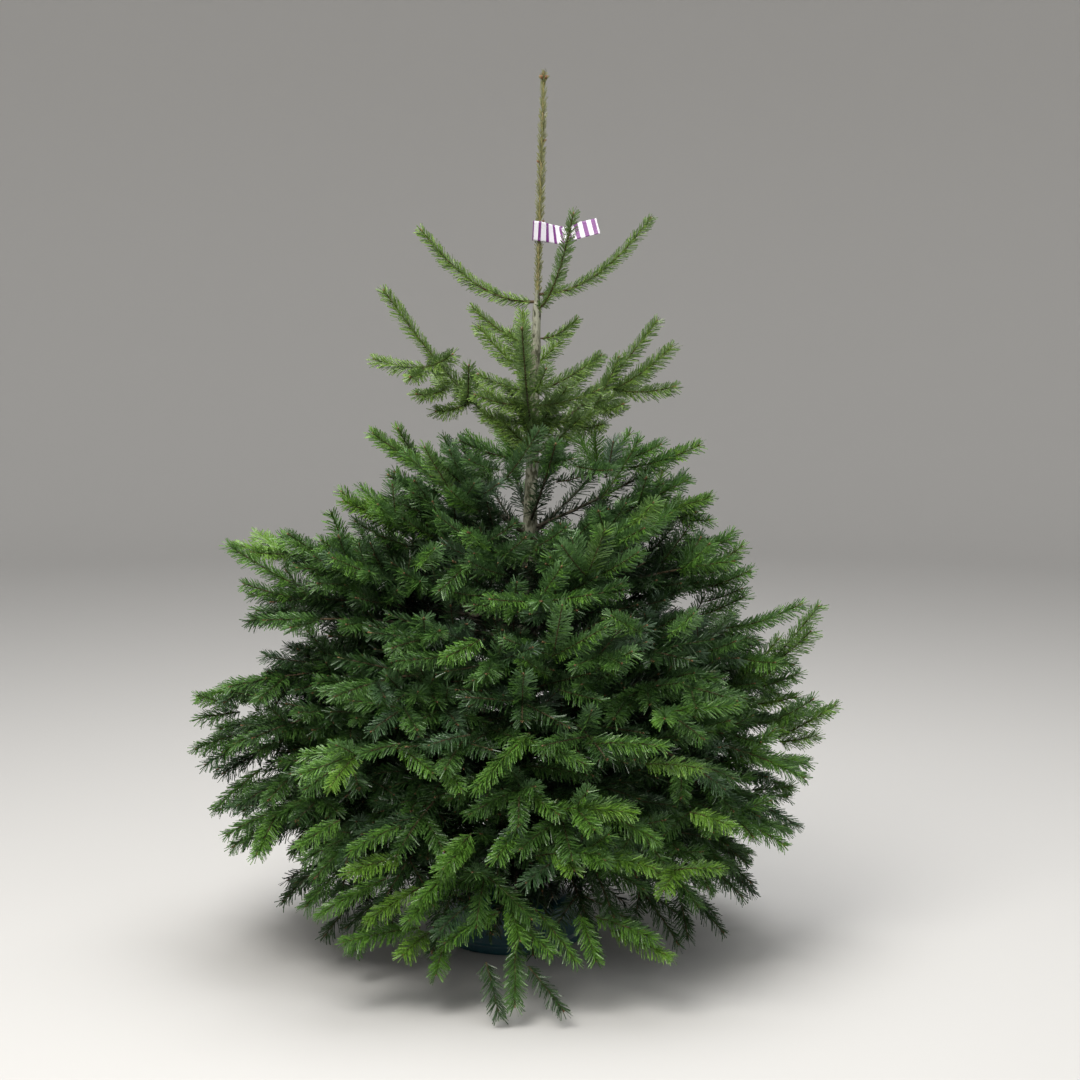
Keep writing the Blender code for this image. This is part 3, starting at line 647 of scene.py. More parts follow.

# shoots that stand out, by their places in the 1080 picture: a foot and a tip in each row.
# front is how far before the trunk the feet and the tips are, bend changes the usual one, and light shifts their sprays
# to lit or shaded tones as painted light and shade
picturedShoots = {
    "fourthLeft": {"whorl": 4, "front": (0.06, 0.10), "light": 0.02, "rows": (
        (432, 469, 374, 434), (441, 497, 400, 481), (446, 518, 400, 503), (438, 538, 404, 519),
        (382, 523, 342, 492), (408, 546, 356, 522), (505, 457, 461, 441), (392, 500, 352, 505))},
    "fourthMiddle": {"whorl": 4, "front": (0.14, 0.24), "light": 0.04, "rows": (
        (468, 512, 425, 448), (466, 480, 450, 451), (498, 487, 538, 432), (464, 501, 498, 484),
        (469, 549, 514, 524), (530, 461, 572, 459), (570, 464, 611, 470), (548, 470, 556, 444),
        (500, 470, 470, 460), (478, 510, 452, 492))},
    "fourthRight": {"whorl": 4, "front": (0.08, 0.12), "light": 0.04, "rows": (
        (600, 500, 638, 441), (625, 468, 668, 458), (650, 462, 698, 446), (628, 458, 660, 445),
        (606, 478, 613, 443), (556, 482, 588, 474), (620, 500, 662, 484), (625, 530, 653, 501),
        (636, 542, 671, 510), (640, 512, 700, 500))},
    "fifthMiddle": {"whorl": 5, "front": (0.28, 0.36), "light": 0.06, "rows": (
        (574, 606, 604, 531), (588, 580, 637, 553), (588, 578, 551, 558), (580, 598, 622, 590),
        (533, 548, 565, 528), (416, 565, 434, 549), (443, 590, 492, 596), (470, 560, 440, 590),
        (633, 523, 653, 503), (505, 575, 470, 562))},
    "fifthRight": {"whorl": 5, "front": (0.06, 0.10), "light": 0.0, "bend": 0.10, "rows": (
        (671, 513, 709, 497), (680, 520, 708, 520), (693, 547, 728, 540), (700, 573, 741, 547),
        (712, 586, 749, 571), (708, 601, 741, 589), (700, 616, 743, 597), (650, 609, 681, 588))},
    "sixthMiddle": {"whorl": 6, "front": (0.42, 0.49), "light": 0.08, "bend": 0.04, "rows": (
        (553, 656, 562, 606), (553, 656, 604, 628), (553, 656, 506, 639), (596, 670, 631, 652),
        (548, 676, 524, 658), (510, 664, 474, 680), (480, 640, 448, 656), (448, 656, 398, 661),
        (640, 632, 612, 616), (671, 634, 693, 614), (560, 690, 600, 700), (500, 690, 470, 706))},
    "sixthLeft": {"whorl": 6, "front": (0.10, 0.14), "light": -0.06, "bend": 0.08, "rows": (
        (290, 582, 230, 546), (292, 597, 245, 584), (296, 606, 250, 621), (306, 662, 267, 656),
        (306, 682, 269, 672), (362, 664, 322, 652), (354, 560, 322, 541), (350, 575, 315, 557))},
    "sixthRight": {"whorl": 6, "front": (0.04, 0.08), "light": 0.06, "bend": 0.10, "rows": (
        (770, 662, 818, 607), (726, 692, 778, 640), (774, 664, 810, 632), (750, 683, 785, 662),
        (757, 688, 797, 674), (726, 628, 771, 618), (724, 632, 757, 640), (703, 656, 740, 659))},
    "seventhRight": {"whorl": 7, "front": (0.04, 0.08), "light": 0.06, "bend": 0.10, "rows": (
        (776, 738, 834, 706), (780, 742, 815, 736), (720, 760, 782, 728), (762, 760, 806, 762),
        (758, 704, 795, 697), (725, 748, 754, 760), (752, 790, 791, 786), (748, 818, 786, 826))},
    "seventhLeft": {"whorl": 7, "front": (0.10, 0.16), "light": -0.02, "bend": -0.06, "rows": (
        (238, 708, 199, 696), (240, 712, 201, 718), (232, 736, 197, 748), (246, 745, 206, 764),
        (290, 718, 251, 730), (288, 736, 260, 750), (262, 768, 216, 808), (270, 700, 232, 692))},
    "seventhMiddle": {"whorl": 7, "front": (0.50, 0.57), "light": 0.12, "bend": -0.10, "rows": (
        (530, 733, 478, 786), (522, 738, 585, 764), (585, 744, 663, 746), (645, 764, 700, 768),
        (400, 744, 302, 774), (400, 748, 432, 772), (440, 758, 460, 788), (470, 735, 430, 745))},
    "eighthMiddle": {"whorl": 8, "front": (0.52, 0.58), "light": 0.12, "bend": -0.12, "rows": (
        (539, 810, 633, 813), (600, 812, 656, 840), (526, 817, 494, 858), (471, 834, 440, 870),
        (340, 820, 300, 846), (400, 826, 352, 850), (690, 812, 730, 826))},
    "ninthMiddle": {"whorl": 9, "front": (0.52, 0.60), "light": 0.12, "bend": -0.12, "rows": (
        (535, 856, 598, 854), (590, 854, 653, 868), (562, 856, 527, 882), (653, 874, 718, 868),
        (680, 866, 664, 890), (472, 842, 444, 868), (520, 828, 498, 856), (400, 858, 350, 872))},
    "lowestMiddle": {"whorl": 10, "front": (0.50, 0.58), "light": 0.16, "bend": -0.10, "rows": (
        (420, 888, 368, 920), (436, 894, 410, 920), (388, 878, 320, 914), (420, 928, 345, 942),
        (430, 932, 404, 954), (444, 944, 436, 974), (500, 912, 446, 942), (505, 917, 552, 953),
        (535, 909, 575, 960), (580, 914, 596, 960), (595, 917, 652, 938), (610, 930, 668, 956),
        (538, 850, 638, 866), (470, 904, 440, 930), (510, 905, 520, 940), (455, 870, 420, 900))},
    # the sprigs low by the stand get light -0.42: painted shade under the crown
    "sprigs": {"whorl": 10, "front": (0.56, 0.635), "light": -0.42, "bend": -0.06, "rows": (
        (486, 962, 499, 1014), (528, 966, 563, 1010))},
    "thirdFront": {"whorl": 3, "front": (0.05, 0.10), "light": 0.0, "rows": (
        (536, 440, 552, 398), (536, 446, 518, 404), (538, 452, 500, 418), (538, 452, 580, 418),
        (536, 430, 566, 388), (534, 425, 508, 386))},
}


def growPictured(groups):
    for number, (name, group) in enumerate(groups.items()):
        rng = random.Random(500 + number)
        habit = Habit(group["whorl"], rng, group["light"], group.get("bend"), placed=True)
        for column, row, tipColumn, tipRow in group["rows"]:
            foot = pictured(column, row, group["front"][0])
            growTo(foot, pictured(tipColumn, tipRow, group["front"][1]), habit, 2)


def growTo(foot, tip, habit, order):
    # a shoot from one point to another
    length = (tip - foot).length
    direction = (tip - foot - up * habit.bend * length) / length
    growShoot(foot, direction, square(up, (tip - foot).normalized()), length, habit, order)


def growBranch(branch, habit):
    # a branch from the trunk, its needles and its side shoots
    woody = branch.whorl >= 3
    endShare = 1 - (0.020 if branch.whorl >= 4 else 0.008) / branch.length
    steps = max(8, round(branch.length / 0.02))
    shares = [endShare * step / steps for step in range(steps + 1)]
    points = [branch.at(share) for share in shares]
    radii = [branch.radiusAt(share) for share in shares]
    split = round(steps * 0.62) if woody else 0
    if woody:
        limbs.append(Line(points[: split + 1], radii[: split + 1]))
    twigs.append(Line(points[split:], radii[split:]))
    addBuds(points[-1], (points[-1] - points[-2]).normalized(), branch.axes(1)[2], 0)
    clear = (trunkRadius(branch.root.z) + 0.006) / branch.length
    bare = max(clear, branching["firstShare"]) if woody else clear
    for first, last, age in yearsOf(branch.length, habit.year):
        first, last = max(first * endShare, clear), last * endShare
        if last - first > 0.03:
            addNeedles(branch.at, first, last, age, branch.axes(last)[2], habit)
        if age == 0 or last < bare or not woody or branch.name in placedShoots:
            continue
        along, _, above = branch.axes(last)
        growSides(branch.at(last), along, above, branch.length, last, age, habit, 0)
        for middle in (first + 0.35 * (last - first), first + 0.7 * (last - first)):
            if middle > bare:
                growExtra(branch.at(middle), along, above, branch.length, middle, habit, 0)
    for start, end in placedShoots.get(branch.name, ()):
        growTo(Vector(start), Vector(end), habit, 1)


# leader: a bare-looking olive stem with short needles lying along it, and buds on top
leader = {
    "foot": 1.400, "top": 1.871, "needleLength": 0.0205, "lean": 30, "sideBuds": (1.562, 1.688, 1.732),
    "slender": 0.74, "tuftLength": 0.014, "tuftLean": 58,
}


def growLeader(settings):
    heights = np.linspace(settings["foot"], settings["top"], 33).tolist()
    points = [trunkPoint(height) for height in heights]
    radii = [trunkRadius(height + 0.003) * settings["slender"] for height in heights]
    back = Vector((0, 1, 0))
    sprays["leader"].append(Line(points, radii, back, settings["needleLength"], settings["lean"], 0.0, -90.0))
    tuft = [points[-1] - up * 0.016 * (4 - step) / 4 for step in range(5)]
    sprays["leader"].append(Line(tuft, [0.0] * 5, back, settings["tuftLength"], settings["tuftLean"], 0.0, -90.0))
    buds.append((points[-1] - up * 0.003, up, 0.015))
    for number in range(5):
        turn = math.radians(72 * number + 20)
        out = Vector((math.cos(turn), math.sin(turn), 0))
        buds.append((points[-1] - up * 0.008 + out * 0.003, (up * 0.8 + out * 0.6).normalized(), 0.012))
    for number, height in enumerate(settings["sideBuds"]):
        out = Vector((1 if number % 2 == 0 else -1, -0.5, 0)).normalized()
        foot = trunkPoint(height) + out * trunkRadius(height)
        buds.append((foot, (up * 0.6 + out * 0.8).normalized(), 0.010))
    return Line(points, radii)


leaderLine = growLeader(leader)


def bendOf(whorl, azimuth):
    # on the right the shoots of the middle whorls rise
    rises = 5 <= whorl <= 8 and math.cos(math.radians(azimuth)) > 0.85
    return 0.12 if rises else branching["bend"][whorl]


def growCrown():
    for whorl, (rootHeight, usualLift, rows) in whorls.items():
        for number, (azimuth, reach, tipHeight) in enumerate(rows, 1):
            height = rootHeight + branching["stagger"] * (number * 2 % 3 - 1)
            lift = branching["sagging"].get((whorl, number), usualLift)
            branch = Branch(whorl, number, height, lift, azimuth, reach, tipHeight)
            habit = Habit(whorl, random.Random(41 + 100 * whorl + number), bend=bendOf(whorl, azimuth))
            growBranch(branch, habit)


# between the whorls: thin branches that fill the crown, none where the bare trunk shows.
# Each row has a whorl to follow, root height, lift, azimuth, reach and height of the tip
between = {
    "rows": (
        (5, 0.700, -0.052, 295, 0.390, 0.950), (6, 0.560, -0.058, 281, 0.430, 0.808),
        (6, 0.700, 0.010, 187, 0.610, 0.775), (6, 0.600, 0.030, 171, 0.615, 0.715),
        (8, 0.330, 0.080, 188, 0.670, 0.300), (9, 0.250, 0.090, 170, 0.610, 0.165),
        (10, 0.220, 0.100, 192, 0.525, 0.110), (10, 0.200, 0.100, 209, 0.480, 0.050),
        (5, 0.730, 0.000, 356, 0.465, 0.850), (5, 0.700, 0.000, 5, 0.485, 0.806),
        (6, 0.570, 0.040, 352, 0.600, 0.620), (7, 0.520, 0.050, 8, 0.600, 0.545),
        (8, 0.360, 0.070, 354, 0.600, 0.340), (9, 0.300, 0.085, 4, 0.590, 0.250),
        (10, 0.240, 0.100, 350, 0.530, 0.130), (10, 0.215, 0.105, 10, 0.550, 0.060),
        (10, 0.200, 0.100, 338, 0.490, 0.045), (4, 0.850, -0.010, 200, 0.330, 1.045),
        (6, 0.610, 0.030, 262, 0.540, 0.680), (6, 0.600, 0.030, 291, 0.560, 0.700),
        (7, 0.560, 0.040, 230, 0.600, 0.620), (7, 0.550, 0.040, 318, 0.600, 0.600),
        (7, 0.470, 0.060, 256, 0.620, 0.500), (7, 0.460, 0.060, 286, 0.630, 0.520),
        (8, 0.430, 0.070, 224, 0.620, 0.420), (8, 0.420, 0.070, 312, 0.630, 0.430),
        (8, 0.350, 0.085, 246, 0.610, 0.310), (8, 0.350, 0.085, 280, 0.630, 0.320),
        (9, 0.330, 0.085, 301, 0.600, 0.270), (9, 0.330, 0.090, 225, 0.600, 0.230),
        (10, 0.280, 0.100, 240, 0.570, 0.180), (10, 0.270, 0.100, 262, 0.590, 0.170),
        (10, 0.280, 0.100, 290, 0.580, 0.180), (10, 0.270, 0.100, 314, 0.550, 0.160),
        (10, 0.210, 0.110, 248, 0.470, 0.070), (10, 0.210, 0.110, 292, 0.460, 0.060),
        (10, 0.200, 0.110, 275, 0.420, 0.060), (9, 0.300, 0.090, 150, 0.600, 0.200),
        (9, 0.300, 0.090, 30, 0.600, 0.200), (10, 0.240, 0.100, 128, 0.560, 0.120),
        (10, 0.240, 0.100, 88, 0.560, 0.120), (10, 0.240, 0.100, 46, 0.560, 0.130),
        (6, 0.660, 0.020, 201, 0.600, 0.740), (6, 0.640, 0.020, 160, 0.600, 0.740),
        (7, 0.560, 0.040, 196, 0.660, 0.590), (7, 0.540, 0.040, 176, 0.680, 0.550),
        (7, 0.500, 0.055, 166, 0.670, 0.500), (7, 0.480, 0.060, 203, 0.670, 0.480),
        (8, 0.430, 0.070, 186, 0.700, 0.430), (8, 0.390, 0.080, 180, 0.680, 0.370),
        (8, 0.370, 0.080, 204, 0.660, 0.350), (9, 0.320, 0.090, 160, 0.650, 0.260),
        (9, 0.310, 0.090, 197, 0.650, 0.240), (9, 0.280, 0.095, 180, 0.620, 0.200),
        (10, 0.250, 0.100, 205, 0.560, 0.130), (10, 0.250, 0.100, 218, 0.570, 0.150),
        (8, 0.400, 0.075, 340, 0.650, 0.400), (9, 0.320, 0.085, 345, 0.630, 0.280),
        (10, 0.250, 0.100, 330, 0.560, 0.150), (10, 0.205, 0.105, 262, 0.330, 0.080),
        (10, 0.205, 0.105, 283, 0.300, 0.080), (10, 0.205, 0.105, 300, 0.330, 0.075),
        (10, 0.205, 0.105, 238, 0.340, 0.080),
    ),
    # light -0.10 gives the filling branches darker tones: painted shade inside the crown
    "light": -0.10, "count": 36, "low": 0.26, "high": 0.88, "shortest": 0.62, "longest": 0.95, "turn": 137.5, "seed": 7,
}


def growBetween(settings):
    rng = random.Random(settings["seed"])
    for number, (whorl, rootHeight, lift, azimuth, reach, tipHeight) in enumerate(settings["rows"], 20):
        habit = Habit(whorl, rng, settings["light"], bendOf(whorl, azimuth))
        growBranch(Branch(whorl, number, rootHeight, lift, azimuth, reach, tipHeight), habit)
    for number in range(settings["count"]):
        share = (number + 0.5) / settings["count"]
        height = settings["low"] + (settings["high"] - settings["low"]) * share
        azimuth = settings["turn"] * number + rng.uniform(-15, 15)
        drop = float(np.interp(height, (0.26, 0.45, 0.66, 0.86), (-0.10, 0.03, 0.13, 0.18)))
        lift = float(np.interp(height, (0.26, 0.45, 0.66, 0.86), (0.09, 0.06, 0.03, -0.01)))
        reach = float(np.interp(height + drop, crownHeights, crownReaches))
        reach *= rng.uniform(settings["shortest"], settings["longest"])
        whorl = 10 if height < 0.3 else 9 if height < 0.36 else 8 if height < 0.5 else 7 if height < 0.62 else 6
        whorl = 5 if height > 0.74 else whorl
        habit = Habit(whorl, rng, settings["light"], bendOf(whorl, azimuth))
        branch = Branch(whorl, number + 200, height, lift, azimuth, reach, height + drop)
        if not inWindow(branch.at(1), 0.01) and not inWindow(branch.at(0.9), 0.01):
            growBranch(branch, habit)


growCrown()
growBetween(between)
growPictured(picturedShoots)
spans = {tone: sum(line.span() for line in lines) for tone, lines in sprays.items()}
print("crown grown:", len(twigs), "twigs,", len(buds), "buds,", round(sum(spans.values()), 1), "m of shoots")
print({tone: round(span, 1) for tone, span in spans.items()})


def lineMesh(name, lines):
    # the lines as loose edges, with their values on the points
    mesh = bpy.data.meshes.new(name)
    points = np.array([point[:] for line in lines for point in line.points], np.float32)
    counts = [len(line.points) for line in lines]
    starts = np.cumsum([0] + counts[:-1])
    edges = np.concatenate([
        np.stack([np.arange(start, start + count - 1), np.arange(start + 1, start + count)], axis=1)
        for start, count in zip(starts, counts)
    ])
    mesh.from_pydata(points.tolist(), edges.tolist(), [])

    def store(label, kind, field, values):
        layer = mesh.attributes.new(label, kind, "POINT")
        layer.data.foreach_set(field, np.asarray(values, np.float32).ravel())

    store("above", "FLOAT_VECTOR", "vector", np.repeat([line.above[:] for line in lines], counts, axis=0))
    store("needleLength", "FLOAT", "value", np.repeat([line.length for line in lines], counts))
    store("lean", "FLOAT", "value", np.repeat([line.lean for line in lines], counts))
    store("hang", "FLOAT", "value", np.repeat([line.hang for line in lines], counts))
    store("lowest", "FLOAT", "value", np.repeat([line.lowest for line in lines], counts))
    store("limbRadius", "FLOAT", "value", [r for line in lines for r in line.radii])
    return mesh


def makeLimbTree():
    # round limbs along the lines, with bark relief pushed out along their normals
    tree, given = newTree("barkLimb", [
        ("Ring Spacing", "Float", 0.004), ("Sides", "Int", 12), ("Relief", "Float", 0.0004),
        ("Relief Scale", "Float", 90.0), ("Relief Stretch", "Vector", (1, 1, 1)),
        ("Blisters", "Float", 0.0), ("Material", "Material", None),
    ])
    curve = addNode(tree, "GeometryNodeMeshToCurve", {0: given["Geometry"]})
    curve = addNode(
        tree, "GeometryNodeResampleCurve", {"Curve": curve.outputs[0], "Length": given["Ring Spacing"]},
        mode="LENGTH",
    )
    ring = addNode(tree, "GeometryNodeCurvePrimitiveCircle", {"Resolution": given["Sides"], "Radius": 1.0})
    tube = addNode(
        tree, "GeometryNodeCurveToMesh",
        {"Curve": curve.outputs[0], "Profile Curve": ring.outputs[0],
         "Scale": namedValue(tree, "limbRadius"), "Fill Caps": True},
    )
    place = tree.nodes.new("GeometryNodeInputPosition").outputs[0]
    place = vectorMaths(tree, "MULTIPLY", place, given["Relief Stretch"])
    ridges = addNode(tree, "ShaderNodeTexNoise", {"Vector": place, "Scale": given["Relief Scale"], "Detail": 4.0})
    height = maths(tree, "MULTIPLY", maths(tree, "SUBTRACT", ridges.outputs[0], 0.5), given["Relief"])
    cells = addNode(tree, "ShaderNodeTexVoronoi", {"Vector": place, "Scale": 55.0, "Randomness": 1.0})
    dome = mapped(tree, cells.outputs["Distance"], 0.0, 0.22, 1.0, 0.0)
    height = maths(tree, "ADD", height, maths(tree, "MULTIPLY", dome, given["Blisters"]))
    normal = tree.nodes.new("GeometryNodeInputNormal").outputs[0]
    moved = addNode(
        tree, "GeometryNodeSetPosition",
        {"Geometry": tube.outputs[0], "Offset": scaled(tree, normal, maths(tree, "MULTIPLY", height, 2.0))},
    )
    smooth = addNode(tree, "GeometryNodeSetShadeSmooth", {"Geometry": moved.outputs[0], "Shade Smooth": True})
    endTree(tree, smooth.outputs[0], given["Material"])
    return tree


def makeNeedleTree():
    # needles along each line: to both sides and upwards, leaning towards the tip
    tree, given = newTree("needles", [
        ("Spacing", "Float", 0.001), ("Width", "Float", 0.002), ("Highest", "Float", 74.0),
        ("Tip Lean", "Float", 0.80), ("Top Lean", "Float", 0.84), ("Spin", "Float", 75.0), ("Ground", "Float", 0.003),
        ("Seed", "Int", 3), ("Needle", "Object", None), ("Material", "Material", None),
    ])
    curve = addNode(tree, "GeometryNodeMeshToCurve", {0: given["Geometry"]})
    along = tree.nodes.new("GeometryNodeSplineParameter").outputs["Factor"]
    curve = addNode(
        tree, "GeometryNodeStoreNamedAttribute",
        {"Geometry": curve.outputs[0], "Name": "alongYear", "Value": along}, data_type="FLOAT", domain="POINT",
    )
    dots = addNode(
        tree, "GeometryNodeCurveToPoints", {"Curve": curve.outputs[0], "Length": given["Spacing"]}, mode="LENGTH"
    )
    number = tree.nodes.new("GeometryNodeInputIndex").outputs[0]

    def chance(low, high, offset):
        seed = maths(tree, "ADD", given["Seed"], offset)
        made = addNode(
            tree, "FunctionNodeRandomValue", {2: low, 3: high, "ID": number, "Seed": seed}, data_type="FLOAT"
        )
        return made.outputs[1]

    tangent = vectorMaths(tree, "NORMALIZE", dots.outputs["Tangent"])
    side = vectorMaths(
        tree, "NORMALIZE", vectorMaths(tree, "CROSS_PRODUCT", tangent, namedValue(tree, "above", "FLOAT_VECTOR"))
    )
    above = vectorMaths(tree, "CROSS_PRODUCT", side, tangent)
    hand = maths(tree, "SIGN", chance(-1.0, 1.0, 11))
    lift = maths(tree, "RADIANS", chance(namedValue(tree, "lowest"), given["Highest"], 23))
    year = namedValue(tree, "alongYear")
    crowd = maths(tree, "POWER", year, 4.0)
    tipped = mapped(tree, crowd, 0.0, 1.0, 1.0, given["Tip Lean"])
    # those on top lie along the twig and hide its bark
    topped = mapped(tree, maths(tree, "SINE", lift), 0.2, 1.0, 1.0, given["Top Lean"])
    lean = maths(tree, "MULTIPLY", maths(tree, "MULTIPLY", namedValue(tree, "lean"), tipped), topped)
    lean = maths(tree, "RADIANS", maths(tree, "ADD", lean, chance(-9.0, 9.0, 37)))
    sideways = scaled(tree, side, maths(tree, "MULTIPLY", hand, maths(tree, "COSINE", lift)))
    outward = vectorMaths(tree, "ADD", sideways, scaled(tree, above, maths(tree, "SINE", lift)))
    heading = vectorMaths(
        tree, "ADD", scaled(tree, tangent, maths(tree, "COSINE", lean)), scaled(tree, outward, maths(tree, "SINE", lean))
    )
    fall = addNode(tree, "ShaderNodeCombineXYZ", {"Z": maths(tree, "MULTIPLY", namedValue(tree, "hang"), -1.0)})
    heading = vectorMaths(tree, "NORMALIZE", vectorMaths(tree, "ADD", heading, fall.outputs[0]))
    # needles are shorter at both ends of a year's growth and on top
    swell = maths(tree, "SINE", maths(tree, "MULTIPLY", year, math.pi))
    length = maths(tree, "MULTIPLY", namedValue(tree, "needleLength"), mapped(tree, swell, 0.0, 1.0, 0.78, 1.0))
    length = maths(tree, "MULTIPLY", length, chance(0.82, 1.08, 51))
    length = maths(tree, "MULTIPLY", length, mapped(tree, lift, 0.0, 1.2, 1.0, 0.80))
    first = addNode(tree, "FunctionNodeAlignRotationToVector", {"Vector": heading}, axis="X")
    # each needle is turned about its own length, so that a shoot is full from any side
    spin = maths(tree, "RADIANS", chance(maths(tree, "MULTIPLY", given["Spin"], -1.0), given["Spin"], 67))
    tilt = vectorMaths(
        tree, "ADD", scaled(tree, above, maths(tree, "COSINE", spin)), scaled(tree, side, maths(tree, "SINE", spin))
    )
    turned = addNode(
        tree, "FunctionNodeAlignRotationToVector", {"Rotation": first.outputs[0], "Vector": tilt},
        axis="Z", pivot_axis="X",
    )
    size = addNode(tree, "ShaderNodeCombineXYZ", {"X": length, "Y": given["Width"], "Z": length})
    place = tree.nodes.new("GeometryNodeInputPosition").outputs[0]
    end = vectorMaths(tree, "ADD", place, scaled(tree, heading, length))
    endHeight = addNode(tree, "ShaderNodeSeparateXYZ", {0: end}).outputs["Z"]
    kept = addNode(
        tree, "FunctionNodeCompare", {0: endHeight, 1: given["Ground"]}, data_type="FLOAT", operation="GREATER_THAN"
    )
    shape = addNode(tree, "GeometryNodeObjectInfo", {"Object": given["Needle"]})
    copies = addNode(
        tree, "GeometryNodeInstanceOnPoints",
        {"Points": dots.outputs["Points"], "Selection": kept.outputs[0], "Instance": shape.outputs["Geometry"],
         "Rotation": turned.outputs[0], "Scale": size.outputs[0]},
    )
    real = addNode(tree, "GeometryNodeRealizeInstances", {"Geometry": copies.outputs[0]})
    smooth = addNode(tree, "GeometryNodeSetShadeSmooth", {"Geometry": real.outputs[0], "Shade Smooth": True})
    endTree(tree, smooth.outputs[0], given["Material"])
    return tree


def makeNeedleShape():
    # one needle of unit length: a blunt strap, a little twisted
    corners = [(0, 0.36, 0.012), (0, -0.36, -0.012), (1, -0.34, 0.02), (1, 0.34, -0.02)]
    mesh = bpy.data.meshes.new("needleShape")
    mesh.from_pydata(corners, [], [(0, 1, 2, 3)])
    item = bpy.data.objects.new("needleShape", mesh)
    bpy.context.scene.collection.objects.link(item)
    return item


def makeBudTree():
    # a small scaly bud at each point, along its aim
    tree, given = newTree("budsOnTips", [("Bud", "Object", None), ("Material", "Material", None)])
    dots = addNode(tree, "GeometryNodeMeshToPoints", {"Mesh": given["Geometry"]})
    size = namedValue(tree, "size")
    turned = addNode(
        tree, "FunctionNodeAlignRotationToVector", {"Vector": namedValue(tree, "aim", "FLOAT_VECTOR")}, axis="X"
    )
    shape = addNode(tree, "GeometryNodeObjectInfo", {"Object": given["Bud"]})
    copies = addNode(
        tree, "GeometryNodeInstanceOnPoints",
        {"Points": dots.outputs[0], "Instance": shape.outputs["Geometry"], "Rotation": turned.outputs[0],
         "Scale": addNode(tree, "ShaderNodeCombineXYZ", {"X": size, "Y": size, "Z": size}).outputs[0]},
    )
    real = addNode(tree, "GeometryNodeRealizeInstances", {"Geometry": copies.outputs[0]})
    smooth = addNode(tree, "GeometryNodeSetShadeSmooth", {"Geometry": real.outputs[0], "Shade Smooth": True})
    endTree(tree, smooth.outputs[0], given["Material"])
    return tree


def makeBudShape():
    # one bud of unit length: a point at each end and two rings between
    corners = [(0, 0, 0)]
    for x, radius, turn in ((0.28, 0.27, 0.0), (0.68, 0.24, 0.6)):
        for step in range(5):
            angle = 2 * math.pi * step / 5 + turn
            corners.append((x, radius * math.cos(angle), radius * math.sin(angle)))
    corners.append((1, 0, 0))
    faces = []
    for step in range(5):
        after = (step + 1) % 5
        faces += [(0, 1 + after, 1 + step), (1 + step, 1 + after, 6 + after, 6 + step), (6 + step, 6 + after, 11)]
    mesh = bpy.data.meshes.new("budShape")
    mesh.from_pydata(corners, [], faces)
    item = bpy.data.objects.new("budShape", mesh)
    bpy.context.scene.collection.objects.link(item)
    return item


def budMesh(places):
    mesh = bpy.data.meshes.new("buds")
    mesh.from_pydata([place[:] for place, _, _ in places], [], [])
    aim = mesh.attributes.new("aim", "FLOAT_VECTOR", "POINT")
    aim.data.foreach_set("vector", [value for _, along, _ in places for value in along])
    size = mesh.attributes.new("size", "FLOAT", "POINT")
    size.data.foreach_set("value", [length for _, _, length in places])
    return mesh


budTree = makeBudTree()
limbTree = makeLimbTree()
needleTree = makeNeedleTree()
needle = makeNeedleShape()

# pieces of needles, one tone each: closer together on the outer sprays than on those inside
needleSpacing = {
    "fresh": 0.00046, "bright": 0.00046, "middle": 0.00052, "bluish": 0.00056, "dark": 0.00082, "deep": 0.0015,
    "upper": 0.00036, "leader": 0.00042,
}
needleWidth = {"upper": 0.0019, "dark": 0.0024, "deep": 0.0032, "leader": 0.0018}
needleLimit = 90000


def makeNeedlePieces():
    made = []
    for tone, lines in sprays.items():
        count = max(1, math.ceil(spans[tone] / needleSpacing[tone] / needleLimit))
        for part in range(count):
            name = f"{tone}Needles_{part + 1}"
            made.append(grownMesh(name, lineMesh(name, lines[part::count]), needleTree, {
                "Spacing": needleSpacing[tone], "Width": needleWidth.get(tone, needleShape["width"]),
                "Highest": needleShape["highest"], "Seed": 3 + part, "Needle": needle,
                "Material": needleMaterials[tone],
            }))
            print(name, len(made[-1].data.polygons), "needles")
    return made


needlePieces = makeNeedlePieces()
twigPiece = grownMesh("twigs", lineMesh("twigs", twigs), limbTree, {
    "Ring Spacing": 0.026, "Sides": 5, "Relief": 0.0002, "Material": barkMaterials["twigBark"],
})
leaderPiece = grownMesh("leaderStem", lineMesh("leaderStem", [leaderLine]), limbTree, {
    "Ring Spacing": 0.004, "Sides": 14, "Relief": 0.0008, "Relief Scale": 260.0,
    "Relief Stretch": (1, 1, 0.3), "Material": barkMaterials["leaderBark"],
})
bud = makeBudShape()
shownBuds = [row for row in buds if exposure(row[0]) > 0.50 or row[0].z > 1.2]
budPiece = grownMesh("buds", budMesh(shownBuds), budTree, {"Bud": bud, "Material": barkMaterials["budScales"]})
bpy.data.objects.remove(bud)
print(len(shownBuds), "buds shown")
boughPiece = grownMesh("boughs", lineMesh("boughs", limbs), limbTree, {
    "Ring Spacing": 0.008, "Sides": 10, "Relief": 0.0009, "Relief Scale": 140.0,
    "Material": barkMaterials["boughBark"],
})


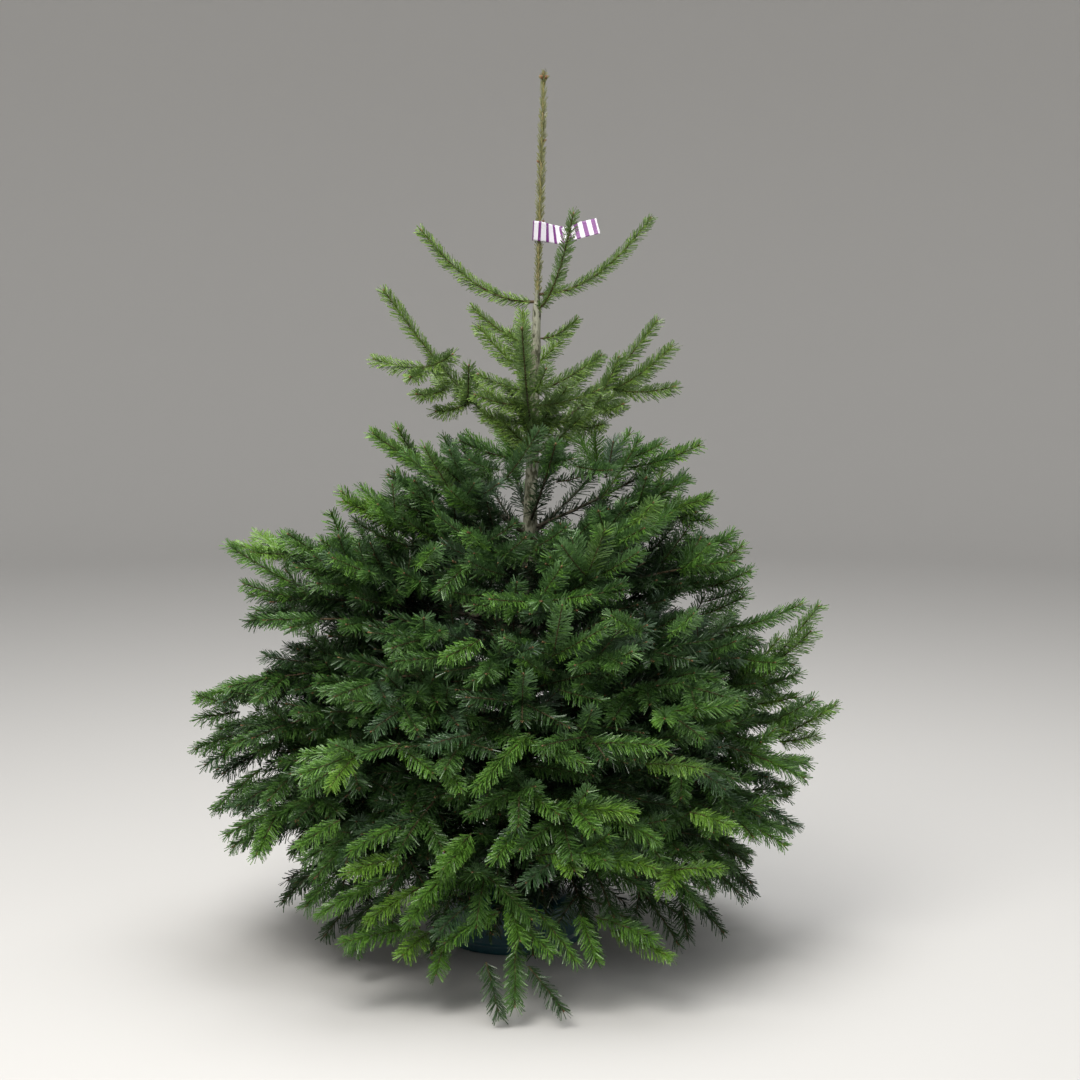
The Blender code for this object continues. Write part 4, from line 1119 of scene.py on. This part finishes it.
# trunk: relief, a swelling at each whorl and resin blisters
def makeTrunk():
    heights = np.arange(trunk["cut"], trunk["leaderFoot"] + 0.02, 0.004)
    points = [trunkPoint(float(h)) for h in heights]
    for point in points:
        if point.z < trunk["cut"] + 0.042:
            point.x = trunkPoint(trunk["cut"]).x
    radii = []
    for h in heights:
        knot = sum(math.exp(-((h - root) / 0.014) ** 2) for root, _, _ in whorls.values())
        neck = min(1.0, max(0.0, (trunk["leaderFoot"] - h) / 0.016))
        radius = trunkRadius(min(float(h), trunk["leaderFoot"] - 0.001))
        radii.append((trunk["leaderRadius"] + (radius - trunk["leaderRadius"]) * neck) * (1 + 0.09 * knot))
    return grownMesh("trunkBark", lineMesh("trunkBark", [Line(points, radii)]), limbTree, {
        "Ring Spacing": 0.0035, "Sides": 48, "Relief": 0.0026, "Relief Scale": 105.0,
        "Relief Stretch": (1, 1, 0.45), "Blisters": 0.0007, "Material": barkMaterials["trunkBark"],
    })


trunkPiece = makeTrunk()
bpy.data.objects.remove(needle)
print("wood made")


def newObject(name, shape, material):
    # a bmesh made into an object, with its faces outwards
    bmesh.ops.recalc_face_normals(shape, faces=shape.faces)
    mesh = bpy.data.meshes.new(name)
    shape.to_mesh(mesh)
    shape.free()
    mesh.materials.append(material)
    mesh.shade_smooth()
    item = bpy.data.objects.new(name, mesh)
    bpy.context.scene.collection.objects.link(item)
    return item


def turned(rows, segments, flute=None):
    # a closed form turned about Z: rows of (radius, height), the ends closed to the axis
    shape = bmesh.new()
    rings = []
    for radius, height in rows:
        ring = []
        for step in range(segments):
            turn = 2 * math.pi * step / segments
            out = radius + (flute(turn, radius, height) if flute else 0.0)
            ring.append(shape.verts.new((out * math.cos(turn), out * math.sin(turn), height)))
        rings.append(ring)
    for ring, after in zip(rings, rings[1:]):
        for step in range(segments):
            other = (step + 1) % segments
            shape.faces.new((ring[step], ring[other], after[other], after[step]))
    for ring, height in ((rings[0], rows[0][1]), (rings[-1], rows[-1][1])):
        middle = shape.verts.new((0, 0, height))
        for step in range(segments):
            shape.faces.new((ring[step], ring[(step + 1) % segments], middle))
    return shape


def rounded(corners, radius, steps=4):
    # the profile with each inner corner turned into a small arc
    rows = [corners[0]]
    for before, corner, after in zip(corners, corners[1:], corners[2:]):
        here = Vector(corner)
        toBefore, toAfter = Vector(before) - here, Vector(after) - here
        reach = min(radius, toBefore.length * 0.45, toAfter.length * 0.45)
        start, end = here + toBefore.normalized() * reach, here + toAfter.normalized() * reach
        for step in range(steps + 1):
            share = step / steps
            rows.append(tuple(start * (1 - share) ** 2 + here * 2 * share * (1 - share) + end * share**2))
    rows.append(corners[-1])
    return rows


# stand: a low round tub with a deck, a collar with a bore, and a bead round its foot
stand = {
    "profile": ((0.051, 0.0237), (0.051, 0.168), (0.0555, 0.1685), (0.064, 0.166), (0.064, 0.150),
                (0.0625, 0.147), (0.0625, 0.126), (0.078, 0.112), (0.096, 0.1095), (0.098, 0.112),
                (0.105, 0.111), (0.107, 0.1075), (0.120, 0.106), (0.138, 0.094), (0.143, 0.0564),
                (0.1428, 0.024), (0.146, 0.019), (0.146, 0.004), (0.142, 0.0), (0.120, 0.0)),
    "round": 0.004, "segments": 144, "ribs": 24, "ribDepth": 0.0012, "ribBottom": 0.028, "ribTop": 0.088,
}


def makeStand(settings, material):
    def flute(turn, radius, height):
        # shallow upright ribs round the wall
        if not settings["ribBottom"] < height < settings["ribTop"] or radius < 0.13:
            return 0.0
        return -settings["ribDepth"] * max(0.0, math.cos(turn * settings["ribs"])) ** 6

    rows = rounded(settings["profile"], settings["round"])
    full = []
    for (r1, h1), (r2, h2) in zip(rows, rows[1:]):
        parts = max(1, round(math.hypot(r2 - r1, h2 - h1) / 0.008))
        full += [(r1 + (r2 - r1) * step / parts, h1 + (h2 - h1) * step / parts) for step in range(parts)]
    return newObject("standBody", turned(full + [rows[-1]], settings["segments"], flute), material)


# screws: three threaded rods through the collar, each with a lobed knob
screws = {
    "count": 3, "turn": 30, "height": 0.145, "radius": 0.0052, "thread": 0.0022, "threadDepth": 0.0006,
    "start": 0.0235, "knobStart": 0.0885, "knobEnd": 0.1015, "knobRadius": 0.0136, "lobes": 8, "lobeDepth": 0.0013,
}


def makeScrews(settings, material, knobMaterial):
    rods, knobs = bmesh.new(), bmesh.new()
    rows = []
    place = settings["start"]
    while place < settings["knobStart"] + 0.004:
        rows += [(settings["radius"], place), (settings["radius"] - settings["threadDepth"], place + settings["thread"] / 2)]
        place += settings["thread"]
    low, high, wide = settings["knobStart"], settings["knobEnd"], settings["knobRadius"]
    knobRows = rounded(
        ((0.003, low), (wide * 0.93, low), (wide, low + 0.002), (wide, high - 0.003), (wide * 0.88, high), (0.004, high)),
        0.0015,
    )

    def lobes(turn, radius, height):
        return settings["lobeDepth"] * math.cos(turn * settings["lobes"]) * min(1.0, radius / wide) ** 4

    for number in range(settings["count"]):
        turn = math.radians(settings["turn"] + 360 / settings["count"] * number)
        spot = Matrix.Translation((trunkPoint(settings["height"]).x, 0, settings["height"]))
        spot = spot @ Matrix.Rotation(turn, 4, "Z") @ Matrix.Rotation(math.pi / 2, 4, "Y")
        for target, shape in ((rods, turned(rows, 20)), (knobs, turned(knobRows, 64, lobes))):
            mesh = bpy.data.meshes.new("part")
            shape.to_mesh(mesh)
            shape.free()
            mesh.transform(spot)
            target.from_mesh(mesh)
            bpy.data.meshes.remove(mesh)
    return newObject("screwRods", rods, material), newObject("screwKnobs", knobs, knobMaterial)


# marker tape: round the leader, pinched behind the front shoot, its free end turned a little
tape = {
    "rows": (  # centre, half of the width as a vector, stripes per metre, purple share
        ((0.136, 0.006, 1.5420), (0.0, 0.0070, 0.0180), 55, 0.42),
        ((0.118, 0.004, 1.5385), (0.0, 0.0090, 0.0150), 55, 0.40),
        ((0.100, 0.003, 1.5370), (0.001, 0.0050, 0.0185), 58, 0.36),
        ((0.078, 0.006, 1.5400), (0.001, 0.0010, 0.0200), 58, 0.36),
        ((0.062, 0.0095, 1.5435), (0.001, 0.0, 0.0208), 58, 0.36),
        ((0.0500, 0.0085, 1.5452), (0.001, 0.0, 0.0208), 58, 0.36),
        ((0.0425, 0.0010, 1.5458), (0.001, 0.0, 0.0208), 58, 0.36),
        ((0.0475, -0.0075, 1.5458), (0.001, 0.0, 0.0208), 58, 0.36),
        ((0.0600, -0.0120, 1.5445), (0.001, 0.0, 0.0208), 58, 0.36),
        ((0.0760, -0.0085, 1.5410), (-0.0005, 0.0020, 0.0200), 58, 0.36),
        ((0.0930, -0.0050, 1.5368), (-0.003, 0.0060, 0.0190), 66, 0.38),
        ((0.1060, -0.0060, 1.5360), (-0.004, 0.0100, 0.0165), 66, 0.40),
        ((0.1165, -0.0035, 1.5385), (-0.004, 0.0150, 0.0120), 60, 0.44),
        ((0.1290, -0.0075, 1.5430), (-0.004, 0.0125, 0.0155), 54, 0.48),
        ((0.1450, -0.0120, 1.5475), (-0.004, 0.0110, 0.0165), 52, 0.49),
        ((0.1630, -0.0110, 1.5520), (-0.004, 0.0120, 0.0160), 52, 0.49),
        ((0.1815, -0.0140, 1.5560), (-0.004, 0.0120, 0.0160), 52, 0.49),
    ),
    "steps": 8, "across": 10, "thickness": 0.0003, "crumple": 0.0016, "phase": 0.30,
}


def smoothPath(rows, steps):
    # a smooth curve through every row of numbers
    rows = [rows[0], *rows, rows[-1]]
    found = []
    for a, b, c, d in zip(rows, rows[1:], rows[2:], rows[3:]):
        for step in range(steps):
            t = step / steps
            found.append((2 * b + (c - a) * t + (2 * a - 5 * b + 4 * c - d) * t**2 + (3 * b - a - 3 * c + d) * t**3) / 2)
    found.append(rows[-1])
    return found


def makeTape(settings, material):
    rows = [np.array([*centre, *half, rate, share]) for centre, half, rate, share in settings["rows"]]
    path = smoothPath(rows, settings["steps"])
    count = settings["across"]
    corners, phases, shares = [], [], []
    phase = settings["phase"]
    for number, row in enumerate(path):
        if number:
            phase += float(np.linalg.norm(row[:3] - path[number - 1][:3])) * row[6]
        gather = math.exp(-((row[0] - 0.112) / 0.012) ** 2)
        for step in range(count + 1):
            across = 2 * step / count - 1
            fold = settings["crumple"] * gather * math.sin(across * 9.0 + number * 0.5)
            corners.append(row[:3] + row[3:6] * across + np.array((0.0, fold, 0.0)))
            phases.append(phase)
            shares.append(row[7])
    mesh = bpy.data.meshes.new("markerTape")
    wide = count + 1
    faces = [
        (i * wide + j, i * wide + j + 1, (i + 1) * wide + j + 1, (i + 1) * wide + j)
        for i in range(len(path) - 1) for j in range(count)
    ]
    mesh.from_pydata([tuple(corner) for corner in corners], [], faces)
    for label, values in (("stripePhase", phases), ("purpleShare", shares)):
        mesh.attributes.new(label, "FLOAT", "POINT").data.foreach_set("value", values)
    mesh.materials.append(material)
    mesh.shade_smooth()
    item = bpy.data.objects.new("markerTape", mesh)
    bpy.context.scene.collection.objects.link(item)
    solid = item.modifiers.new("thickness", "SOLIDIFY")
    solid.thickness = settings["thickness"]
    solid.offset = 0.0
    return item


tapeColors = {"white": (0.62, 0.60, 0.65), "purple": (0.135, 0.022, 0.155), "edge": 0.05}


def makeTapeMaterial(colors):
    material, tree, shader = newMaterial("tapePlastic", specular=0.5)
    phase = addNode(tree, "ShaderNodeAttribute", attribute_name="stripePhase").outputs["Fac"]
    share = addNode(tree, "ShaderNodeAttribute", attribute_name="purpleShare").outputs["Fac"]
    place = maths(tree, "FRACT", phase)
    mask = maths(tree, "SUBTRACT", share, place)
    mask = mapped(tree, mask, -colors["edge"], colors["edge"], 0.0, 1.0)
    tint = addNode(
        tree, "ShaderNodeMix", {0: mask, 6: (*colors["white"], 1), 7: (*colors["purple"], 1)}, data_type="RGBA"
    )
    worn = addGroup(tree, patchTint, {
        "Color": tint.outputs[2], "Patch Color": (0.50, 0.44, 0.52), "Scale": 120.0, "Low": 0.62, "High": 1.0,
    })
    grain = addGroup(tree, fineGrain, {
        "Scale": 150.0, "Strength": 0.25, "Distance": 0.001, "Rough Low": 0.26, "Rough High": 0.42,
    })
    tree.links.new(worn.outputs["Color"], shader.inputs["Base Color"])
    tree.links.new(grain.outputs["Normal"], shader.inputs["Normal"])
    tree.links.new(grain.outputs["Roughness"], shader.inputs["Roughness"])
    return material


# stand finishes: moulded petrol-blue plastic, scuffed zinc screws and zinc knobs
finishes = {
    "standPlastic": {"color": (0.010, 0.060, 0.078), "patch": (0.030, 0.095, 0.110), "scale": 24.0, "metallic": 0.0,
                     "specular": 0.5, "low": 0.52, "high": 0.78, "grain": 700.0, "bump": 0.12, "rough": (0.26, 0.42)},
    "screwZinc": {"color": (0.56, 0.56, 0.54), "patch": (0.36, 0.35, 0.32), "scale": 90.0, "metallic": 0.9,
                  "specular": 0.5, "low": 0.50, "high": 0.74, "grain": 900.0, "bump": 0.20, "rough": (0.28, 0.48)},
    "knobZinc": {"color": (0.50, 0.50, 0.49), "patch": (0.30, 0.29, 0.27), "scale": 60.0, "metallic": 0.9,
                 "specular": 0.5, "low": 0.48, "high": 0.74, "grain": 500.0, "bump": 0.25, "rough": (0.32, 0.52)},
}


def makeFinish(name, finish):
    material, tree, shader = newMaterial(name, finish["metallic"], finish["specular"])
    tint = addGroup(tree, patchTint, {
        "Color": finish["color"], "Patch Color": finish["patch"], "Scale": finish["scale"],
        "Low": finish["low"], "High": finish["high"],
    })
    grain = addGroup(tree, fineGrain, {
        "Scale": finish["grain"], "Strength": finish["bump"], "Distance": 0.0005,
        "Rough Low": finish["rough"][0], "Rough High": finish["rough"][1],
    })
    tree.links.new(tint.outputs["Color"], shader.inputs["Base Color"])
    tree.links.new(grain.outputs["Normal"], shader.inputs["Normal"])
    tree.links.new(grain.outputs["Roughness"], shader.inputs["Roughness"])
    return material


standPiece = makeStand(stand, makeFinish("standPlastic", finishes["standPlastic"]))
rodPiece, knobPiece = makeScrews(
    screws, makeFinish("screwZinc", finishes["screwZinc"]), makeFinish("knobZinc", finishes["knobZinc"])
)
tapePiece = makeTape(tape, makeTapeMaterial(tapeColors))
print("stand, screws and tape made")

# stage: a pale round floor that rises into a wall all round, wide enough for a camera at any side
stage = {"color": (0.56, 0.55, 0.535), "wall": 9.0, "bend": 2.4, "height": 5.5, "segments": 96}


def makeStage(settings):
    wall, bend = settings["wall"], settings["bend"]
    rows = [(1.0, 0.0), (wall - bend, 0.0)]
    for step in range(1, 13):
        turn = math.pi / 2 * step / 12
        rows.append((wall - bend + bend * math.sin(turn), bend - bend * math.cos(turn)))
    rows.append((wall, settings["height"]))
    shape = turned(rows, settings["segments"])
    shape.verts.ensure_lookup_table()
    bmesh.ops.delete(shape, geom=[shape.verts[-1]], context="VERTS")
    material, _, shader = newMaterial("floorPaper")
    shader.inputs["Base Color"].default_value = (*settings["color"], 1)
    shader.inputs["Roughness"].default_value = 0.9
    newObject("floor", shape, material)


lights = {
    "key": {"place": (-1.4, -2.6, 4.2), "aim": (0, 0, 0.7), "size": 2.6, "power": 215, "color": (1.0, 0.98, 0.94)},
    "fill": {"place": (2.8, -3.2, 2.2), "aim": (0, 0, 0.8), "size": 3.0, "power": 36, "color": (0.94, 0.97, 1.0)},
    "top": {"place": (0.3, 0.6, 4.6), "aim": (0, 0, 0.6), "size": 3.2, "power": 145, "color": (1, 1, 1)},
}


def makeLights(settings):
    for name, light in settings.items():
        lamp = bpy.data.lights.new(name, "AREA")
        lamp.size = light["size"]
        lamp.energy = light["power"]
        lamp.color = light["color"]
        item = bpy.data.objects.new(name, lamp)
        item.location = light["place"]
        item.rotation_euler = (Vector(light["aim"]) - Vector(light["place"])).to_track_quat("-Z", "Y").to_euler()
        bpy.context.scene.collection.objects.link(item)
    world = bpy.data.worlds.new("studio")
    world.use_nodes = True
    world.node_tree.nodes["Background"].inputs["Color"].default_value = (1.0, 1.0, 1.0, 1)
    world.node_tree.nodes["Background"].inputs["Strength"].default_value = 0.42
    bpy.context.scene.world = world


makeStage(stage)
makeLights(lights)

# each piece rides on the one body and stands for its solids
nodes = sorted(frame["nodes"])
for piece in needlePieces:
    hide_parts(*[n for n in nodes if n.startswith("foliage")])
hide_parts(*[n for n in nodes if n.startswith("foliage")])
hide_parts(*[n for n in nodes if n.startswith("bough")])
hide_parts("trunk")
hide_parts("trunk")
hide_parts(*[n for n in nodes if n.startswith("foliage")])
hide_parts("stand")
for piece in (rodPiece, knobPiece):
    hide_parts(*[n for n in nodes if n.startswith("clamp_screw")])
woodPieces = [twigPiece, boughPiece, trunkPiece, leaderPiece, budPiece]
for piece in [*needlePieces, *woodPieces, standPiece, rodPiece, knobPiece, tapePiece]:
    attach(piece, "root")
